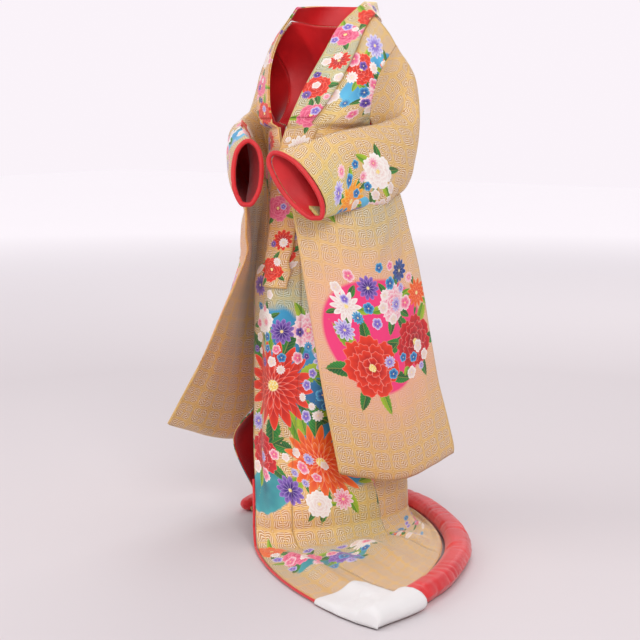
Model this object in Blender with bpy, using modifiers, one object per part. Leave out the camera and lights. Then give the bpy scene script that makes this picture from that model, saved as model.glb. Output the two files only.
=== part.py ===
"""Uchikake: a long padded over-robe, open down the front and left trailing, in its worn form.

The cloth is modelled piece by piece as a maker cuts it: two body lengths that run from front
to back over the shoulder, two front gores, a neck band with its cover, two deep sleeves and
the padded red rolls at the cuffs and the hem. Every piece is an open surface with a wall.

Frame: metres, +Z up. The front faces -Y and the wearer's left is +X. The origin lies between
the shoulders at their height, where the robe is held up. Heights in the tables are above the
floor, and lifted() takes them to this frame.
"""

import math

import bmesh
import bpy
import numpy as np
from mathutils import Vector

# ---------------------------------------------------------------- sizes
SHOULDER_HEIGHT = 1.36  # from the floor to the origin
WALL = 0.003  # figured silk and its lining
SEAM_GAP = 0.0010  # between two sewn pieces
ARMPIT = 1.08  # where the standing skirt ends and the shoulder part starts
SKIRT_FOOT = 0.045  # where the skirt's wall turns onto the floor
BAND_WIDTH = 0.080  # of the neck band as it shows
BAND_THICK = 0.0035
BAND_LIFT = 0.0052  # from a panel's middle to the neck band's middle
COVER_LIFT = 0.0036  # from the neck band's middle to its cover's middle
COVER_THICK = 0.002
SIDE_SLIT = 0.15  # open below the armhole
LAP_DEPTH = 0.020  # the right front lies this far inside the left
CUFF_ROLL = 0.0065  # radius
HEM_ROLL_HEIGHT = 0.044
EDGE_PIPING = 0.0035  # radius
LEFT_TUCK = 0.06  # depth of the fold under the left forearm

# Each piece's own material: red, green, blue, roughness, metallic.
FINISHES = {
    "body_left": (0.72, 0.53, 0.24, 0.50, 0.10),
    "body_right": (0.72, 0.52, 0.25, 0.50, 0.10),
    "gore_left": (0.74, 0.50, 0.28, 0.50, 0.10),
    "gore_right": (0.72, 0.52, 0.26, 0.50, 0.10),
    "neck_band": (0.68, 0.48, 0.26, 0.48, 0.10),
    "band_cover": (0.66, 0.44, 0.28, 0.48, 0.10),
    "sleeve_left": (0.74, 0.56, 0.30, 0.50, 0.10),
    "sleeve_right": (0.74, 0.50, 0.24, 0.50, 0.10),
    "hem_roll": (0.70, 0.02, 0.03, 0.38, 0.0),
    "lining_right": (0.72, 0.02, 0.03, 0.40, 0.0),
    "edge_piping": (0.70, 0.02, 0.03, 0.42, 0.0),
    "corner_cover": (0.86, 0.85, 0.82, 0.80, 0.0),
    "cuff_roll_left": (0.72, 0.03, 0.03, 0.40, 0.0),
    "cuff_roll_right": (0.72, 0.02, 0.04, 0.40, 0.0),
}


def table(columns, *rows):
    """A table with named columns, as one array for each column."""
    return {
        name: np.array([row[i] for row in rows], dtype=float)
        for i, name in enumerate(columns.split())
    }


# The standing skirt's oval at each height.
RINGS = table(
    "height centre_x centre_y half_width half_depth",
    (0.045, -0.011, -0.008, 0.205, 0.205),
    (0.20, -0.011, -0.008, 0.214, 0.210),
    (0.35, -0.011, -0.008, 0.212, 0.208),
    (0.60, -0.008, -0.008, 0.210, 0.206),
    (0.80, -0.004, -0.012, 0.184, 0.212),
    (0.95, 0.000, -0.024, 0.147, 0.209),
    (1.08, 0.000, -0.028, 0.142, 0.187),
)

# Where the seams lie round the oval, in degrees from the front over the wearer's right.
SEAMS = table(
    "height right_edge right_gore right_side back left_side left_gore left_edge",
    (0.045, 67, 104, 170, 236, 300, 352, 392),
    (0.20, 60, 97, 152, 222, 292, 350, 392),
    (0.35, 41, 78, 136, 208, 284, 347, 392),
    (0.60, -18, 28, 100, 184, 270, 344, 392),
    (0.70, -22, 25, 98, 181, 269, 343, 390),
    (0.74, -22, 25, 98, 180, 269, 343, 376),
    (0.80, -20, 26, 97, 180, 269, 343, 371),
    (0.95, -8, 30, 95, 180, 268, 341, 367),
    (1.08, 12, 40, 94, 180, 266, 333, 354),
)
SEAM_NAMES = (
    "right_edge right_gore right_side back left_side left_gore left_edge".split()
)

# Where the skirt meets the floor and where the hem's outer side lies, in plan, for places
# round the hem. Whole numbers of place are the seams, from the right front edge on.
HEM = table(
    "place foot_x foot_y hem_x hem_y roll_width bow",
    (0.0, -0.160, -0.070, -0.250, -0.112, 0.046, 0.0),
    (0.5, -0.182, 0.020, -0.272, 0.020, 0.055, 0.0),
    (1.0, -0.166, 0.100, -0.238, 0.142, 0.060, 0.0),
    (1.5, -0.092, 0.158, -0.140, 0.236, 0.065, 0.0),
    (2.0, 0.004, 0.178, 0.030, 0.274, 0.072, 0.0),
    (2.5, 0.100, 0.160, 0.185, 0.230, 0.076, 0.0),
    (3.0, 0.180, 0.110, 0.320, 0.135, 0.078, 0.0),
    (3.5, 0.210, 0.035, 0.440, 0.015, 0.080, 0.0),
    (4.0, 0.206, -0.060, 0.535, -0.135, 0.080, 0.0),
    (4.5, 0.160, -0.190, 0.598, -0.320, 0.080, 0.0),
    (5.0, 0.085, -0.290, 0.618, -0.470, 0.076, 0.01),
    (6.0, -0.010, -0.322, 0.601, -0.656, 0.050, 0.05),
)

# The neckline from the chest up to the shoulder: the band's free edge and its sewn edge.
NECK_LEFT = table(
    "rise free_x free_y free_h sewn_x sewn_y sewn_h",
    (0.00, 0.020, -0.226, 1.080, 0.0695, -0.1955, 1.080),
    (0.30, 0.046, -0.193, 1.170, 0.108, -0.142, 1.165),
    (0.60, 0.062, -0.126, 1.262, 0.124, -0.072, 1.262),
    (0.85, 0.070, -0.050, 1.345, 0.122, -0.020, 1.330),
    (1.00, 0.086, 0.022, 1.398, 0.119, 0.022, 1.366),
)
NECK_RIGHT = table(
    "rise free_x free_y free_h sewn_x sewn_y sewn_h",
    (0.00, -0.040, -0.196, 1.080, -0.0977, -0.1720, 1.080),
    (0.30, -0.066, -0.176, 1.160, -0.136, -0.136, 1.155),
    (0.60, -0.100, -0.120, 1.250, -0.158, -0.072, 1.250),
    (0.85, -0.114, -0.050, 1.335, -0.154, -0.020, 1.322),
    (1.00, -0.118, 0.016, 1.392, -0.146, 0.020, 1.360),
)
NECK_BACK = table(
    "turn free_x free_y free_h sewn_x sewn_y sewn_h",
    (0.00, 0.086, 0.022, 1.398, 0.119, 0.022, 1.366),
    (0.25, 0.068, 0.098, 1.405, 0.086, 0.092, 1.352),
    (0.50, -0.008, 0.142, 1.402, -0.008, 0.128, 1.346),
    (0.75, -0.090, 0.096, 1.402, -0.110, 0.090, 1.350),
    (1.00, -0.118, 0.016, 1.392, -0.146, 0.020, 1.360),
)

# The armhole's front and back edges from the armpit up to the shoulder.
ARMHOLE_LEFT = table(
    "rise front_x front_y front_h back_x back_y back_h",
    (0.00, 0.1510, -0.0405, 1.080, 0.1510, -0.0405, 1.080),
    (0.35, 0.166, -0.052, 1.150, 0.166, 0.050, 1.150),
    (0.70, 0.180, -0.030, 1.230, 0.180, 0.070, 1.225),
    (1.00, 0.186, 0.030, 1.290, 0.186, 0.030, 1.290),
)
ARMHOLE_RIGHT = table(
    "rise front_x front_y front_h back_x back_y back_h",
    (0.00, -0.1510, -0.0405, 1.080, -0.1510, -0.0405, 1.080),
    (0.35, -0.176, -0.056, 1.150, -0.176, 0.044, 1.150),
    (0.70, -0.198, -0.038, 1.230, -0.196, 0.062, 1.225),
    (1.00, -0.208, 0.018, 1.288, -0.208, 0.018, 1.288),
)

# Each sleeve round the arm: the fold on top, the underside, and the side that faces out.
ARM_LEFT = table(
    "along top_x top_y top_h low_x low_y low_h half_width inner_width out",
    (0.00, 0.191, 0.031, 1.293, 0.160, -0.002, 1.070, 0.055, 0.055, 180),
    (0.18, 0.206, 0.048, 1.228, 0.176, 0.008, 0.990, 0.050, 0.040, 146),
    (0.36, 0.206, 0.036, 1.120, 0.188, 0.010, 0.905, 0.047, 0.022, 116),
    (0.52, 0.196, -0.042, 1.092, 0.194, -0.044, 0.885, 0.048, 0.016, 114),
    (0.76, 0.146, -0.178, 1.068, 0.176, -0.164, 0.872, 0.046, 0.018, 117),
    (1.00, 0.067, -0.318, 1.022, 0.166, -0.285, 0.862, 0.045, 0.042, 118),
)
ARM_RIGHT = table(
    "along top_x top_y top_h low_x low_y low_h half_width inner_width out",
    (0.00, -0.213, 0.018, 1.291, -0.164, -0.004, 1.070, 0.055, 0.055, 180),
    (0.18, -0.264, 0.034, 1.225, -0.196, 0.006, 0.990, 0.054, 0.045, 224),
    (0.36, -0.272, 0.006, 1.130, -0.222, -0.004, 0.915, 0.050, 0.030, 252),
    (0.52, -0.240, -0.070, 1.105, -0.208, -0.060, 0.900, 0.046, 0.022, 272),
    (0.76, -0.150, -0.200, 1.080, -0.146, -0.196, 0.890, 0.038, 0.020, 292),
    (1.00, -0.044, -0.302, 1.048, -0.040, -0.316, 0.888, 0.036, 0.036, 300),
)

# Each sleeve's hanging part: its open edge by the body, its middle and its front edge.
BAG_LEFT = table(
    "drop furi_x furi_y furi_h centre_x centre_y centre_h front_x front_y front_h",
    (0.00, 0.184, 0.018, 0.965, 0.182, -0.130, 0.890, 0.060, -0.268, 0.938),
    (0.40, 0.238, 0.058, 0.700, 0.214, -0.118, 0.660, 0.104, -0.258, 0.690),
    (0.75, 0.276, 0.095, 0.410, 0.240, -0.080, 0.390, 0.150, -0.240, 0.405),
    (1.00, 0.316, 0.130, 0.205, 0.264, -0.048, 0.160, 0.182, -0.214, 0.196),
)
BAG_RIGHT = table(
    "drop furi_x furi_y furi_h centre_x centre_y centre_h front_x front_y front_h",
    (0.00, -0.200, 0.006, 0.965, -0.192, -0.112, 0.880, -0.050, -0.304, 0.836),
    (0.28, -0.238, 0.020, 0.760, -0.212, -0.104, 0.700, -0.088, -0.258, 0.745),
    (0.68, -0.266, 0.030, 0.430, -0.264, -0.112, 0.420, -0.218, -0.282, 0.470),
    (1.00, -0.290, 0.036, 0.196, -0.296, -0.106, 0.206, -0.330, -0.302, 0.276),
)

# The largest folds of the skirt: a ridge has a depth above nought, a trough below.
SKIRT_FOLDS = table(
    "place width depth from_height to_height",
    (0.0, 0.70, 0.062, -0.01, 0.31),
    (2.4, 0.16, 0.016, 0.02, 0.95),
    (2.8, 0.14, -0.012, 0.02, 0.90),
    (3.25, 0.15, 0.015, 0.02, 0.92),
    (3.7, 0.14, -0.012, 0.02, 0.85),
    (4.15, 0.13, 0.013, 0.02, 0.80),
    (4.45, 0.12, -0.012, 0.05, 0.86),
    (4.72, 0.13, 0.014, 0.05, 0.92),
    (5.05, 0.16, -0.010, 0.05, 0.96),
    (5.42, 0.18, 0.012, 0.05, 0.80),
    (5.78, 0.12, -0.008, 0.05, 0.62),
)

# The largest waves of the cloth that lies on the floor.
FLOOR_FOLDS = table(
    "place width height from_reach to_reach",
    (3.3, 0.22, 0.014, 0.10, 1.00),
    (3.9, 0.22, 0.020, 0.10, 1.00),
    (4.4, 0.17, 0.026, 0.02, 0.95),
    (4.85, 0.16, 0.022, 0.02, 0.92),
    (5.35, 0.22, 0.024, 0.05, 0.98),
)


def smooth(xs, ys, at):
    """A smooth curve through a table's points, read at one place or many."""
    at = np.asarray(at, dtype=float)
    step = np.diff(xs)
    rise = np.diff(ys) / step
    slope = np.empty_like(ys)
    slope[0], slope[-1] = rise[0], rise[-1]
    slope[1:-1] = (rise[:-1] * step[1:] + rise[1:] * step[:-1]) / (step[1:] + step[:-1])
    i = np.clip(np.searchsorted(xs, at, side="right") - 1, 0, len(xs) - 2)
    h = step[i]
    t = np.clip((at - xs[i]) / h, 0.0, 1.0)
    return (
        ys[i] * (1 + 2 * t) * (1 - t) ** 2
        + slope[i] * h * t * (1 - t) ** 2
        + ys[i + 1] * t * t * (3 - 2 * t)
        + slope[i + 1] * h * t * t * (t - 1)
    )


def column(source, key, name, at):
    """One column of a table along its key column."""
    return smooth(source[key], source[name], at)


def ease(t):
    """Nought to one with soft ends."""
    t = np.clip(t, 0.0, 1.0)
    return t * t * (3 - 2 * t)


def lifted(points):
    """Takes points with heights above the floor to the part's frame."""
    points = np.array(points, dtype=float)
    points[..., 2] -= SHOULDER_HEIGHT
    return points


def fold_height(place, height):
    """How far the skirt's folds stand out at a place and a height."""
    total = np.zeros(np.broadcast(place, height).shape)
    for i in range(len(SKIRT_FOLDS["place"])):
        low, high = SKIRT_FOLDS["from_height"][i], SKIRT_FOLDS["to_height"][i]
        middle, half = (low + high) / 2, (high - low) / 2
        across = np.exp(-(((place - SKIRT_FOLDS["place"][i]) / SKIRT_FOLDS["width"][i]) ** 2))
        along = np.clip(1 - ((height - middle) / half) ** 2, 0.0, 1.0)
        total = total + SKIRT_FOLDS["depth"][i] * across * along
    return total


def floor_wave(place, reach):
    """How high the cloth on the floor waves."""
    total = np.zeros(np.broadcast(place, reach).shape)
    for i in range(len(FLOOR_FOLDS["place"])):
        low, high = FLOOR_FOLDS["from_reach"][i], FLOOR_FOLDS["to_reach"][i]
        middle, half = (low + high) / 2, (high - low) / 2
        across = np.exp(-(((place - FLOOR_FOLDS["place"][i]) / FLOOR_FOLDS["width"][i]) ** 2))
        along = np.clip(1 - ((reach - middle) / half) ** 2, 0.0, 1.0)
        total = total + FLOOR_FOLDS["height"][i] * across * along
    return total


def standing(place, height):
    """The standing skirt's surface, at places round it and heights above the floor."""
    place, height = np.broadcast_arrays(
        np.asarray(place, dtype=float), np.asarray(height, dtype=float)
    )
    angles = np.stack([column(SEAMS, "height", name, height) for name in SEAM_NAMES])
    turn = np.empty(place.shape)
    for index in np.ndindex(place.shape):
        turn[index] = smooth(
            np.arange(7.0), angles[(slice(None), *index)], place[index]
        )
    turn = np.radians(turn)
    inside = LAP_DEPTH * (1 - ease((place - 0.9) / 1.1)) * ease((height - 0.20) / 0.2)
    half_width = column(RINGS, "height", "half_width", height) - inside
    half_depth = column(RINGS, "height", "half_depth", height) - inside
    x = column(RINGS, "height", "centre_x", height) - half_width * np.sin(turn)
    y = column(RINGS, "height", "centre_y", height) - half_depth * np.cos(turn)
    near_floor = ease((0.26 - height) / (0.26 - SKIRT_FOOT))
    x = x + (column(HEM, "place", "foot_x", place) - x) * near_floor
    y = y + (column(HEM, "place", "foot_y", place) - y) * near_floor
    folds = fold_height(place, height)
    x = x - folds * np.sin(turn)
    y = y - folds * np.cos(turn)
    return np.stack([x, y, height], axis=-1)


def hem_line(place):
    """The hem's outer side in plan, its outward direction and the roll's width."""
    place = np.asarray(place, dtype=float)
    at = np.stack([column(HEM, "place", n, place) for n in ("hem_x", "hem_y")], axis=-1)
    step = 0.02
    ahead = np.clip(place + step, 0, 6)
    back = np.clip(place - step, 0, 6)
    run = np.stack(
        [
            column(HEM, "place", n, ahead) - column(HEM, "place", n, back)
            for n in ("hem_x", "hem_y")
        ],
        axis=-1,
    )
    run = run / np.linalg.norm(run, axis=-1, keepdims=True)
    out = np.stack([run[..., 1], -run[..., 0]], axis=-1)
    middle = np.array([0.10, -0.10])
    side = np.sign(np.sum(out * (at - middle), axis=-1, keepdims=True))
    return at, out * side, column(HEM, "place", "roll_width", place)


def lying(place, reach):
    """The cloth from the skirt's foot (reach 0) to the hem roll (reach 1), on the floor."""
    place, reach = np.broadcast_arrays(
        np.asarray(place, dtype=float), np.asarray(reach, dtype=float)
    )
    foot = standing(place, np.full(place.shape, SKIRT_FOOT))[..., :2]
    outer, out, width = hem_line(place)
    end = outer - out * (width[..., None] + 0.0013)
    run = end - foot
    length = np.linalg.norm(run, axis=-1)
    side = np.stack([run[..., 1], -run[..., 0]], axis=-1) / length[..., None]
    bow = column(HEM, "place", "bow", place) * 4 * reach * (1 - reach)
    plan = foot + run * reach[..., None] + side * bow[..., None]
    bend = np.clip(0.05 / np.maximum(length, 0.06), 0.0, 0.8)
    drop = ease(reach / bend) ** 0.6
    floor = 0.006 + floor_wave(place, reach) + 0.013 * ease((reach - 0.75) / 0.25)
    height = SKIRT_FOOT * (1 - drop) + floor * drop
    return np.concatenate([plan, height[..., None]], axis=-1)


def corner(table_of, key, at, prefix):
    """A point of a table: its x, y and h columns with one prefix."""
    return np.stack(
        [column(table_of, key, f"{prefix}_{axis}", at) for axis in ("x", "y", "h")],
        axis=-1,
    )


def coons(bottom, top, left, right):
    """A patch between four edges, as a grid from the bottom edge to the top edge."""
    rows, cols = len(left), len(bottom)
    v = np.linspace(0, 1, rows)[:, None, None]
    u = np.linspace(0, 1, cols)[None, :, None]
    across = left[:, None] * (1 - u) + right[:, None] * u
    upward = bottom[None] * (1 - v) + top[None] * v
    corners = (
        bottom[0] * (1 - u) * (1 - v)
        + bottom[-1] * u * (1 - v)
        + top[0] * (1 - u) * v
        + top[-1] * u * v
    )
    return across + upward - corners


RISES = np.linspace(0, 1, 9)  # rows of the shoulder part
HEIGHTS = np.concatenate(
    [np.linspace(SKIRT_FOOT, 0.26, 5), np.linspace(0.32, 0.66, 6), [0.70, 0.74]]
)
HEIGHTS = np.concatenate([HEIGHTS, np.linspace(0.79, ARMPIT, 7)])  # rows of the skirt
REACHES = np.array([0.0, 0.04, 0.09, 0.17, 0.28, 0.42, 0.56, 0.70, 0.84, 1.0])


def skirt_grid(places, heights=HEIGHTS):
    """Rows from the hem up to the top height, one column for each place."""
    floor = lying(places[None, :], REACHES[:0:-1, None])
    return np.concatenate([floor, standing(places[None, :], heights[:, None])])


def ridge(side, share):
    """The shoulder's fold from the armhole (0) to the neck (1)."""
    armhole, neck = (
        (ARMHOLE_LEFT, NECK_LEFT) if side > 0 else (ARMHOLE_RIGHT, NECK_RIGHT)
    )
    start = corner(armhole, "rise", 1.0, "front")
    end = corner(neck, "rise", 1.0, "sewn")
    share = np.asarray(share, dtype=float)[..., None]
    sag = np.array([0.0, 0.0, 0.010]) * 4 * share * (1 - share)
    return start + (end - start) * share + sag


FRONT_COLUMNS = 7  # of a body length's front, from the side seam to the gore or the neck
NECK_COLUMNS = 4  # of its back, from the neck's side to the centre seam
GORE_COLUMNS = 5
BAND_COLUMNS = 4
CUFF_POINTS = 6  # of a sleeve's ring, from the fold down to the cuff's lowest point


def body_grids(side):
    """A body length's front and back grids, each from the hem up over the shoulder."""
    left = side > 0
    armhole, neck = (ARMHOLE_LEFT, NECK_LEFT) if left else (ARMHOLE_RIGHT, NECK_RIGHT)
    trim = SEAM_GAP / 0.30
    shares = np.linspace(0, 1, FRONT_COLUMNS)
    seam, side_seam, back = (5.0, 4.0, 3.0) if left else (1.0, 2.0, 3.0)
    inward = -1 if left else 1
    front_places = side_seam + (seam + inward * trim - side_seam) * shares
    back_shares = np.linspace(0, 1, FRONT_COLUMNS + NECK_COLUMNS - 1)
    back_places = side_seam + (back - inward * 2.2 * trim - side_seam) * back_shares

    front_low = skirt_grid(front_places)
    sewn = corner(neck, "rise", RISES, "sewn")
    edge = corner(armhole, "rise", RISES, "front")
    edge[0] = front_low[-1, 0]
    sewn = sewn + (front_low[-1, -1] - sewn[0]) * (1 - RISES[:, None])
    front_top = coons(front_low[-1], ridge(side, shares), edge, sewn)

    back_low = skirt_grid(back_places)
    turns = np.linspace(0, 0.5, NECK_COLUMNS) if left else np.linspace(1, 0.5, NECK_COLUMNS)
    nape = corner(NECK_BACK, "turn", turns, "sewn")
    nape[-1, 0] += SEAM_GAP / 2 * side
    top = np.concatenate([ridge(side, shares), nape[1:]])
    centre = np.linspace(back_low[-1, -1], nape[-1], len(RISES))
    centre[:, 1] += 0.022 * np.sin(math.pi * RISES)
    edge = corner(armhole, "rise", RISES, "back")
    edge[0] = back_low[-1, 0]
    back_top = coons(back_low[-1], top, edge, centre)
    return (
        np.concatenate([front_low, front_top[1:]]),
        np.concatenate([back_low, back_top[1:]]),
    )


def open_slit(front, back):
    """Parts the front from the back along the armhole and the slit below it."""
    first = len(REACHES) - 1
    for row in range(front.shape[0]):
        height = front[row, 0, 2]
        if row < first or height < ARMPIT - SIDE_SLIT:
            continue
        if row == front.shape[0] - 1:
            continue
        if height <= ARMPIT + 0.001:
            front[row, 0, 1] -= 0.004
            back[row, 0, 1] += 0.004


def sheet_mesh(name, grids, outside, wall=WALL, offset=0.0):
    """One object from grids of points whose shared points are joined, with a wall.

    outside is a point-wise direction: faces are turned to agree with it.
    """
    mesh = bmesh.new()
    for grid in grids:
        grid = lifted(grid)
        rows, cols = grid.shape[:2]
        made = [[mesh.verts.new(grid[r, c]) for c in range(cols)] for r in range(rows)]
        for r in range(rows - 1):
            for c in range(cols - 1):
                mesh.faces.new(
                    (made[r][c], made[r][c + 1], made[r + 1][c + 1], made[r + 1][c])
                )
    bmesh.ops.remove_doubles(mesh, verts=mesh.verts, dist=1e-5)
    bmesh.ops.triangulate(mesh, faces=mesh.faces, quad_method="SHORT_EDGE")
    bmesh.ops.recalc_face_normals(mesh, faces=mesh.faces)
    agree = sum(
        face.calc_area() * face.normal.dot(outside(face.calc_center_median()))
        for face in mesh.faces
    )
    if agree < 0:
        bmesh.ops.reverse_faces(mesh, faces=mesh.faces)
    return finish(name, mesh, wall, offset)


def finish(name, mesh, wall=None, offset=0.0):
    """Puts a mesh into the collection as one object, with a wall if it is a sheet."""
    data = bpy.data.meshes.new(name)
    mesh.to_mesh(data)
    mesh.free()
    data.materials.append(silk(name))
    piece = bpy.data.objects.new(name, data)
    UCHIKAKE.objects.link(piece)
    if wall:
        solid = piece.modifiers.new("wall", "SOLIDIFY")
        solid.thickness = wall
        solid.offset = offset
        solid.use_even_offset = False
    data.shade_smooth()
    return piece


def body_outside(at):
    """Outward from the body's axis, and upward for what lies on the floor."""
    direction = at.copy()
    direction.z = 0.0
    direction.normalize()
    if at.z + SHOULDER_HEIGHT < 0.05:
        direction.z = 3.0
    if at.z + SHOULDER_HEIGHT > 1.25:
        direction.z = 1.0
    return direction


def make_body(side):
    """A body length: front and back in one, slit at the side, hollow armhole."""
    front, back = body_grids(side)
    open_slit(front, back)
    name = "body_left" if side > 0 else "body_right"
    return sheet_mesh(name, [front, back], body_outside)


def make_gore(side):
    """A front gore, from its point at the chest to the hem."""
    trim = SEAM_GAP / 0.18
    if side > 0:
        places = np.linspace(5.0 + trim, 6.0, GORE_COLUMNS)
    else:
        places = np.linspace(0.0, 1.0 - trim, GORE_COLUMNS)
    name = "gore_left" if side > 0 else "gore_right"
    return sheet_mesh(name, [skirt_grid(places)], body_outside)


def normals_of(grid):
    """Unit normals of a grid of points."""
    along = np.gradient(grid, axis=0)
    across = np.gradient(grid, axis=1)
    normal = np.cross(along, across)
    return normal / np.linalg.norm(normal, axis=-1, keepdims=True)


def band_start(side, height):
    """Where the band's free edge lies. The left gore spreads past it below the waist."""
    if side < 0:
        return 0.0
    return 5.62 + 0.38 * float(ease((height - 0.70) / 0.05))


def raised(grid, lift):
    """A grid of points moved out from the body's axis along its own normals."""
    normal = normals_of(grid)
    side = np.sign(np.sum(normal[..., :2] * grid[..., :2], axis=-1, keepdims=True))
    return grid + normal * side * lift


def band_lower(side, heights):
    """The neck band where it lies on a front: rows by height, free edge to sewn edge."""
    shares = np.linspace(0, 1, BAND_COLUMNS)
    rows = []
    for height in heights:
        start = band_start(side, height)
        direction = -1 if side > 0 else 1
        places = start + direction * np.linspace(0, 1.6, 81)
        run = standing(places, np.full(places.shape, height))
        length = np.concatenate(
            [[0], np.cumsum(np.linalg.norm(np.diff(run[:, :2], axis=0), axis=1))]
        )
        at = np.interp(shares * BAND_WIDTH, length, places)
        rows.append(standing(at, np.full(at.shape, height)))
    return np.array(rows)


def band_grid(left_to=0.665, right_to=0.72):
    """The whole neck band, from its left end over the nape to its right end."""
    left_heights = np.concatenate([[left_to], HEIGHTS[HEIGHTS > left_to + 0.01]])
    right_heights = np.concatenate([[right_to], HEIGHTS[HEIGHTS > right_to + 0.01]])
    shares = np.linspace(0, 0.99, BAND_COLUMNS)[None, :, None]

    def upper(source, key, at):
        free = corner(source, key, at, "free")[:, None]
        sewn = corner(source, key, at, "sewn")[:, None]
        return free + (sewn - free) * shares

    rises = RISES[1:]
    parts = [
        band_lower(1, left_heights),
        upper(NECK_LEFT, "rise", rises),
        upper(NECK_BACK, "turn", np.linspace(0, 1, 13)[1:-1]),
        upper(NECK_RIGHT, "rise", rises)[::-1],
        band_lower(-1, right_heights)[::-1],
    ]
    grid = np.concatenate(parts)
    extra = 0.0012 * ease((0.84 - grid[..., 2:]) / 0.06)
    return raised(grid, BAND_LIFT + extra)


def make_band():
    """The neck band, sewn over the fronts' edges and standing round the nape."""
    return sheet_mesh("neck_band", [band_grid()], body_outside, wall=BAND_THICK)


def sleeve_line(arm, bag, along):
    """What a sleeve's ring is made from at one place along it."""
    top = corner(arm, "along", along, "top")
    low = corner(arm, "along", along, "low")
    half = float(column(arm, "along", "half_width", along))
    inner_half = float(column(arm, "along", "inner_width", along))
    out = math.radians(float(column(arm, "along", "out", along)))
    side = np.array([math.sin(out), -math.cos(out), 0.0])
    drops = bag["drop"]
    hang = []
    for i in range(len(drops)):
        three = np.array(
            [
                [bag[f"{part}_{axis}"][i] for axis in ("x", "y", "h")]
                for part in ("furi", "centre", "front")
            ]
        )
        hang.append(
            np.array(
                [smooth(np.array([0.0, 0.5, 1.0]), three[:, k], along) for k in range(3)]
            )
        )
    hang = np.array(hang)
    furi = np.array([bag["furi_x"][-1], bag["furi_y"][-1]])
    front = np.array([bag["front_x"][-1], bag["front_y"][-1]])
    chord = (front - furi) / np.linalg.norm(front - furi)
    face = np.array([-chord[1], chord[0], 0.0])
    if np.dot(face[:2], furi + front) < 0:
        face = -face
    shut = ease((along - 0.80) / 0.20)
    slack = 0.016 * (1 - shut) * (1 - 0.3 * (1 - along))
    return top, low, half, inner_half, side, hang, face, slack, shut


def sleeve_grid(arm, bag, alongs, tuck_depth):
    """A sleeve as rings from its open edge by the body to its front edge."""
    rings = []
    for along in alongs:
        top, low, half, inner_half, side, hang, face, slack, shut = sleeve_line(
            arm, bag, along
        )
        up = np.array([0.0, 0.0, 1.0])
        tuck = tuck_depth * ease((along - 0.40) / 0.60)
        axis = top - low
        outer = [
            top,
            top - axis * 0.13 + side * half * 0.72,
            top - axis * 0.42 + side * half,
            top - axis * 0.74 + side * half * 0.90,
            low + axis * 0.03 + side * half * 0.42,
        ]
        inner = [
            top - axis * 0.13 - side * inner_half * 0.72,
            top - axis * 0.42 - side * inner_half,
            top - axis * 0.74 - side * inner_half * 0.90,
            low + axis * 0.03 - side * inner_half * 0.42,
        ]
        crest = hang[0]
        crease = low * 0.55 + crest * 0.45 - up * 0.004
        if tuck_depth > 0:
            rising = crest + face * 0.013 - up * 0.030 * tuck / max(tuck_depth, 1e-6)
        else:
            rising = low * 0.4 + crest * 0.6
        below = [
            crest + face * slack * 0.2,
            hang[0] * 0.62 + hang[1] * 0.38 + face * slack,
            hang[1] + face * slack,
            hang[1] * 0.5 + hang[2] * 0.5 + face * slack,
            hang[2] + face * slack,
            hang[2] * 0.45 + hang[3] * 0.55 + face * slack,
            hang[3] * 0.94 + hang[2] * 0.06 + face * slack * 0.7,
        ]
        below_in = [p - face * (2 * slack) for p in below]
        below_in[0] = crest - face * slack * 0.6
        below_in[-1] = hang[3] * 0.94 + hang[2] * 0.06 - face * slack * 0.7
        foot = hang[3]
        join = [crease, rising]
        join_in = [
            (inner[-1] * 0.5 + below_in[0] * 0.5) * (1 - shut) + crease * shut,
            (inner[-1] * 0.2 + below_in[0] * 0.8) * (1 - shut) + rising * shut,
        ]
        low_in = low * shut + (low - side * inner_half * 0.15) * (1 - shut)
        outer_line = outer + [low] + join + below
        inner_line = inner + [low_in] + join_in + below_in
        ring = outer_line + [foot] + inner_line[::-1]
        rings.append(ring)
    return np.array(rings)


# The rings of a sleeve, from the body to the cuff.
ALONGS = np.array(
    [0.0, 0.07, 0.14, 0.22, 0.30, 0.38, 0.46, 0.55, 0.64, 0.73, 0.82, 0.90, 0.96, 1.0]
)


def make_sleeve(side):
    """A sleeve: tube round the arm and deep bag below, open by the body and at the cuff."""
    arm, bag = (ARM_LEFT, BAG_LEFT) if side > 0 else (ARM_RIGHT, BAG_RIGHT)
    tuck = LEFT_TUCK if side > 0 else 0.0
    grid = sleeve_grid(arm, bag, ALONGS, tuck)
    closed = np.concatenate([grid, grid[:, :1]], axis=1)
    name = "sleeve_left" if side > 0 else "sleeve_right"
    middle = grid.mean(axis=(0, 1))
    middle[2] -= SHOULDER_HEIGHT

    def outside(at):
        return at - type(at)(middle)

    return sheet_mesh(name, [closed], outside, offset=1.0)


def make_tube(name, points, radius, cyclic=False):
    """A thin padded roll along a line."""
    points = lifted(points)
    curve = bpy.data.curves.new(name, "CURVE")
    curve.dimensions = "3D"
    curve.bevel_depth = radius
    curve.bevel_resolution = 2
    curve.use_fill_caps = not cyclic
    line = curve.splines.new("POLY")
    line.points.add(len(points) - 1)
    for spot, at in zip(line.points, points):
        spot.co = (*at, 1.0)
    line.use_cyclic_u = cyclic
    curve.materials.append(silk(name))
    piece = bpy.data.objects.new(name, curve)
    UCHIKAKE.objects.link(piece)
    return piece


def hem_places():
    """The places of every panel's columns, so that roll and panels share their facets."""
    gore = np.linspace(0, 1, GORE_COLUMNS)
    front = np.linspace(0, 1, FRONT_COLUMNS)
    back = np.linspace(0, 1, FRONT_COLUMNS + NECK_COLUMNS - 1)
    parts = [gore, 1 + front, 2 + back, 3 + back, 4 + front, 5 + gore]
    return np.unique(np.round(np.concatenate(parts), 4))


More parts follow.
